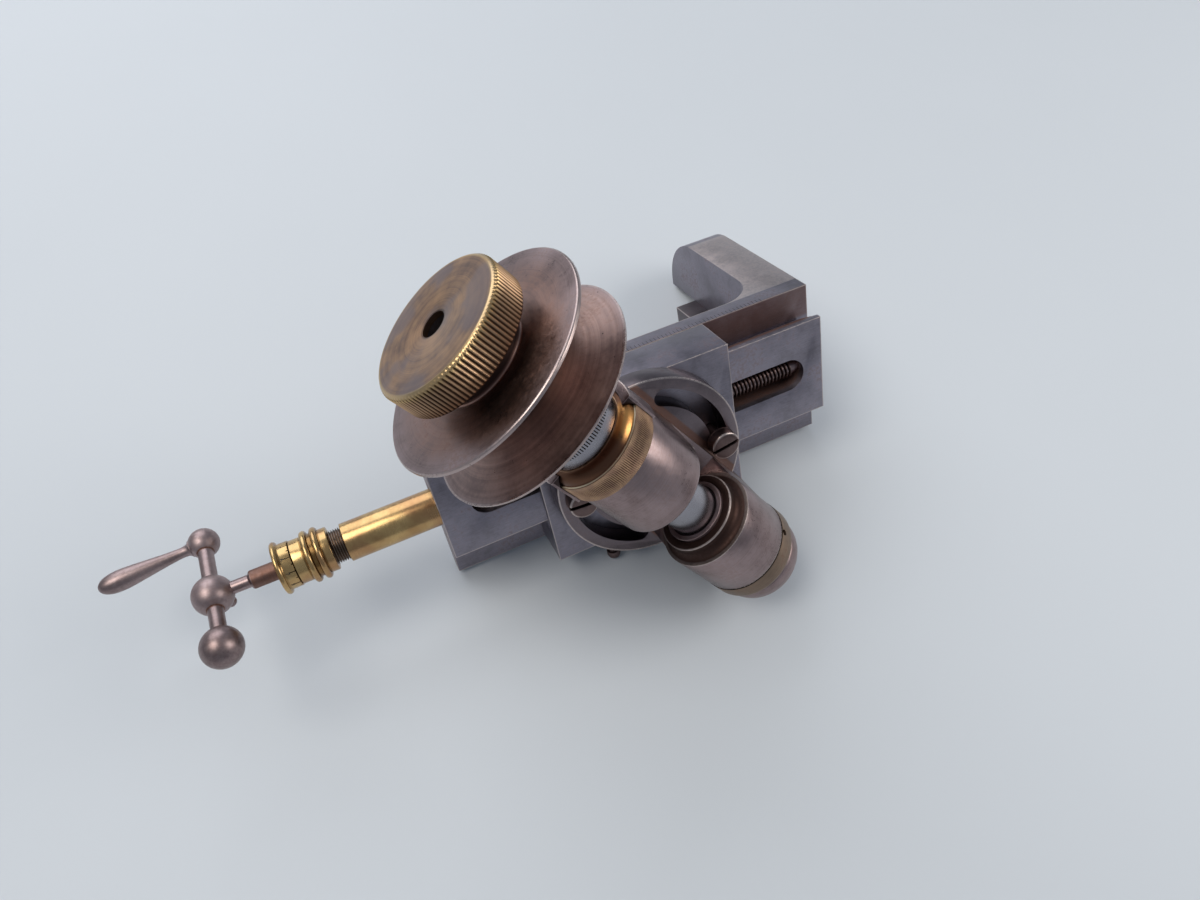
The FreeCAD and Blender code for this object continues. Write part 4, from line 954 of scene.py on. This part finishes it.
class FeedTube(bpy.types.Operator):
    """The brass tube, the dark threaded bush and the brass gland with its two beads"""
    bl_idname = "attachment.feed_tube"
    bl_label = "Feed tube and gland"

    def execute(self, context):
        tones = colours()
        tube = turned([
            (3.72, -20.45), (4.28, -20.45, 0.16), (4.28, 0), (3.18, 0), (3.18, 5.78), (2.48, 5.78),
            (2.48, -15.0), (3.72, -15.0),
        ], 96)
        paint = Paint("tube_brass", FEED)
        settle(tube, "screw_tube_turned", FEED, "base", gold(paint, seed=3.0), "tube_brass", "screw_tube")
        bush = turned([(2.1, -28.0, 0.1), (3.3, -28.0, 0.1), (3.3, -15.1), (2.1, -15.1)], 64)
        dark = turned_steel("bush_dark", FEED, (0.17, 0.10, 0.06), (0.07, 0.045, 0.03), seed=6.0)
        settle(bush, "threaded_bush_core", FEED, "base", dark, "dark_steel", "threaded_bush")

        def crests(paint):
            return paint.radius.rise(3.5, 3.68) * 0.35

        dark = turned_steel("bush_thread_steel", FEED, (0.20, 0.13, 0.08), (0.07, 0.045, 0.03), crests,
                            seed=8.0)
        thread = threaded(sizes().bush_pitch / MM, 3.68, 3.25, -27.9, -15.2, 48)
        settle(thread, "threaded_bush_thread", FEED, "base", dark, "dark_steel", angle=25)
        beads = []
        for station in (-28.1, -25.9):
            beads.append((4.82, station - BEAD))
            for step in range(-90, 91, 15):
                angle = math.radians(step)
                beads.append((5.05 + BEAD * math.cos(angle), station + BEAD * math.sin(angle)))
            beads.append((4.82, station + BEAD))
        gland = turned([
            (2.1, -31.35), (4.83, -31.35, 0.08), *beads, (4.83, -23.32, 0.22), (3.72, -23.32),
            (3.72, -29.55), (2.1, -29.55),
        ])
        paint = Paint("gland_brass", FEED)
        valleys = paint.z.near(-27.0, 0.42, 0.2)
        valleys = valleys.most(paint.z.near(-28.95, 0.1, 0.2)).most(paint.z.near(-25.05, 0.1, 0.2))
        side = paint.radius.rise(4.7, 4.8)
        datum = (paint.turns - DATUM).size().rise(0.004, 0.006)
        datum = (1 - datum) * paint.z.near(-30.5, 0.9, 0.02)
        seam = 1 - paint.z.rise(-31.3, -31.2)
        material = gold(paint, marks=(datum.most(seam)) * side, stain=valleys * 0.9, seed=12.0)
        settle(gland, "gland_turned", FEED, "base", material, "gland_brass", "gland_nut")
        return {"FINISHED"}


class Dial(bpy.types.Operator):
    """The brass dial with its lines and its numbers"""
    bl_idname = "attachment.dial"
    bl_label = "Feed dial"

    def execute(self, context):
        count = sizes().dial_lines
        piece = turned([
            (2.07, -34.98), (5.55, -34.98, 0.1), *bow((5.6, -34.95), (5.6, -33.95), 0.24, 8),
            (5.25, -33.88), (5.1, -33.7), (5.03, -33.4), (5.03, -31.5, 0.04), (2.07, -31.5),
        ])
        paint = Paint("dial_brass", FEED)
        side = paint.radius.rise(4.9, 5.0) * (1 - paint.radius.rise(5.15, 5.2))
        lines = paint.lines(count / 2, -32.75, -31.5, 0.026).most(paint.lines(count, -31.85, -31.5, 0.05))
        root = paint.z.near(-33.75, 0.12, 0.2) * 0.5
        brass = gold(paint, marks=lines * side, stain=root, seed=21.0)
        settle(piece, "dial_turned", FEED, "feed", brass, "gland_brass", "dial")
        paint = Paint("figure_fill", FEED)
        tone = paint.mix(colours().engraving, (0.05, 0.035, 0.02), paint.noise(6.0))
        ink = paint.done(metallic=0.0, base_color=tone, roughness=0.7)
        for number in range(10):
            start()
            bpy.ops.object.text_add()
            figure = bpy.context.object
            figure.data.body = str(number)
            figure.data.size = 1.3
            figure.data.extrude = 0.05
            figure.data.offset = 0.02
            figure.data.align_x = "CENTER"
            figure.data.align_y = "CENTER"
            bpy.ops.object.convert(target="MESH")
            figure = bpy.context.object
            place = turn(36 * number, "Z") @ Matrix.Translation((4.99, 0, -33.15))
            figure.matrix_world = place @ turn(90, "Y") @ turn(90, "Z")
            bpy.ops.object.transform_apply(location=True, rotation=True, scale=True)
            bpy.ops.object.mode_set(mode="EDIT")
            bpy.ops.mesh.select_all(action="SELECT")
            bpy.ops.mesh.remove_doubles(threshold=0.0005)
            bpy.ops.mesh.normals_make_consistent(inside=False)
            bpy.ops.object.mode_set(mode="OBJECT")
            settle(figure, f"dial_figure_{number}", FEED, "feed", ink, "gland_brass")
        return {"FINISHED"}


class BallHandle(bpy.types.Operator):
    """The ball handle, turned in one piece, with its crank grip and hub screw"""
    bl_idname = "attachment.ball_handle"
    bl_label = "Ball handle"

    def execute(self, context):
        tones = colours()
        bar = 1.62
        large, hub, small = 4.31, 4.30, 3.33

        def leave(size):
            return math.degrees(math.asin(bar / size))

        piece = turned([
            *ball(-13.7, large, 0, 180 - leave(large)),
            *ball(0, hub, leave(hub), 180 - leave(hub)),
            *ball(SMALL_ARM, small, leave(small), 180),
        ], 96)

        def speckled(paint):
            return (1 - paint.noise(1.6, 2.0, 0.5).rise(0.40, 0.60)) * 0.12

        def seams(paint):
            low = paint.z.near(-9.75, 0.12, 0.3).most(paint.z.near(-4.0, 0.1, 0.3))
            high = paint.z.near(4.0, 0.1, 0.3).most(paint.z.near(12.4, 0.1, 0.3))
            return low.most(high) * (1 - paint.radius.rise(1.7, 1.95))

        steel = turned_steel("handle_steel", HANDLE, tones.steel, tones.steel_shade, speckled, seams,
                             seed=53.0, rough=0.41, patch=0.07, mottle=0.5, fine=2.0)
        settle(piece, "ball_handle_turned", HANDLE, "feed", steel, "handle_steel", "ball_handle")
        grip = turned([
            (0, 1.5), (1.9, 2.7, 0.12), (1.9, 2.95, 0.12), (1.5, 3.15), (1.22, 3.6), (1.13, 4.6), (1.16, 5.6),
            (1.3, 7.4), (1.52, 9.6), (1.82, 12.2), (2.1, 14.6), (2.28, 16.6), (2.33, 17.8), (2.26, 19.2),
            (2.02, 20.5), (1.6, 21.5), (1.1, 22.1), (0.6, 22.42), (0, 22.55),
        ], 64)
        apply(grip, "SUBSURF", levels=1, render_levels=1)
        steel = turned_steel("grip_steel", GRIP, tones.steel, tones.steel_shade, speckled,
                             seed=59.0, rough=0.41, patch=0.07, mottle=0.5, fine=2.0)
        settle(grip, "crank_grip_turned", GRIP, "feed", steel, "handle_steel", "crank_grip", angle=60)
        paint = Paint("hub_screw_steel", HANDLE)
        steel = aged(paint, tones.steel, tones.steel_shade, paint.noise(3.0))
        dressed("hub_screw", "hub_screw_dressed", "feed", steel, 0.05 * MM)
        return {"FINISHED"}


# The stage

class Stage(bpy.types.Operator):
    """The pale floor, the soft lights and the camera at the photograph's place"""
    bl_idname = "attachment.stage"
    bl_label = "Stage"

    def execute(self, context):
        scene = context.scene
        scene.view_settings.view_transform = "Standard"
        start()
        bpy.ops.mesh.primitive_plane_add(size=6, location=(0, 0, 0))
        floor = context.object
        floor.name = "floor"
        paint = Paint("floor_pale", Matrix.Identity(4))
        tone = paint.mix([value * 0.96 for value in colours().floor], colours().floor, paint.noise(0.01))
        floor.data.materials.append(paint.done(metallic=0.0, base_color=tone, roughness=0.65))
        world = bpy.data.worlds.new("soft_room")
        scene.world = world
        world.use_nodes = True
        world.node_tree.nodes["Background"].inputs["Color"].default_value = (0.70, 0.78, 0.90, 1)
        world.node_tree.nodes["Background"].inputs["Strength"].default_value = 0.34
        lamps = (
            ("rear", (-0.10, 0.70, 0.50), 0.80, 3.2, (0.96, 0.97, 1.0)),
            ("top", (-0.35, 0.05, 0.75), 0.50, 2.7, (1.0, 0.95, 0.88)),
            ("side", (0.60, -0.20, 0.45), 0.50, 2.2, (1.0, 0.96, 0.91)),
        )
        for name, place, size, power, tint in lamps:
            bpy.ops.object.light_add(type="AREA", location=place)
            lamp = context.object
            lamp.name = name
            lamp.data.shape = "DISK"
            lamp.data.size = size
            lamp.data.energy = power
            lamp.data.color = tint
            lamp.rotation_euler = (Vector((0, 0, 0.03)) - Vector(place)).to_track_quat("-Z", "Y").to_euler()
        bpy.ops.object.camera_add()
        camera = context.object
        camera.data.sensor_width = SENSOR_WIDTH
        camera.data.lens = SENSOR_WIDTH * FOCAL_PIXELS / PICTURE_WIDTH
        camera.matrix_world = SLIDE @ CAMERA
        camera.data.clip_start = 0.01
        scene.camera = camera
        return {"FINISHED"}


PIECES = (
    FlatPieces, SpindleHead, Screws, Pulley, DrawKnob, Rings, Spindle, FeedScrew, FeedTube, Dial, BallHandle,
)
CLASSES = (AttachmentSizes, AttachmentColours, *PIECES, Stage)


class AttachmentPanel(bpy.types.Panel):
    bl_idname = "VIEW3D_PT_attachment"
    bl_label = "Milling attachment"
    bl_space_type = "VIEW_3D"
    bl_region_type = "UI"
    bl_category = "Attachment"

    def draw(self, context):
        for group in (context.scene.attachment_sizes, context.scene.attachment_colours):
            for name in group.__annotations__:
                self.layout.prop(group, name)
        for operator in (*PIECES, Stage):
            self.layout.operator(operator.bl_idname)


def register():
    for entry in (*CLASSES, AttachmentPanel):
        bpy.utils.register_class(entry)
    bpy.types.Scene.attachment_sizes = PointerProperty(type=AttachmentSizes)
    bpy.types.Scene.attachment_colours = PointerProperty(type=AttachmentColours)


def unregister():
    del bpy.types.Scene.attachment_colours
    del bpy.types.Scene.attachment_sizes
    for entry in reversed((*CLASSES, AttachmentPanel)):
        bpy.utils.unregister_class(entry)


def main():
    register()
    for operator in (*PIECES, Stage):
        group, name = operator.bl_idname.split(".")
        getattr(getattr(bpy.ops, group), name)()


if __name__ == "__main__":
    main()
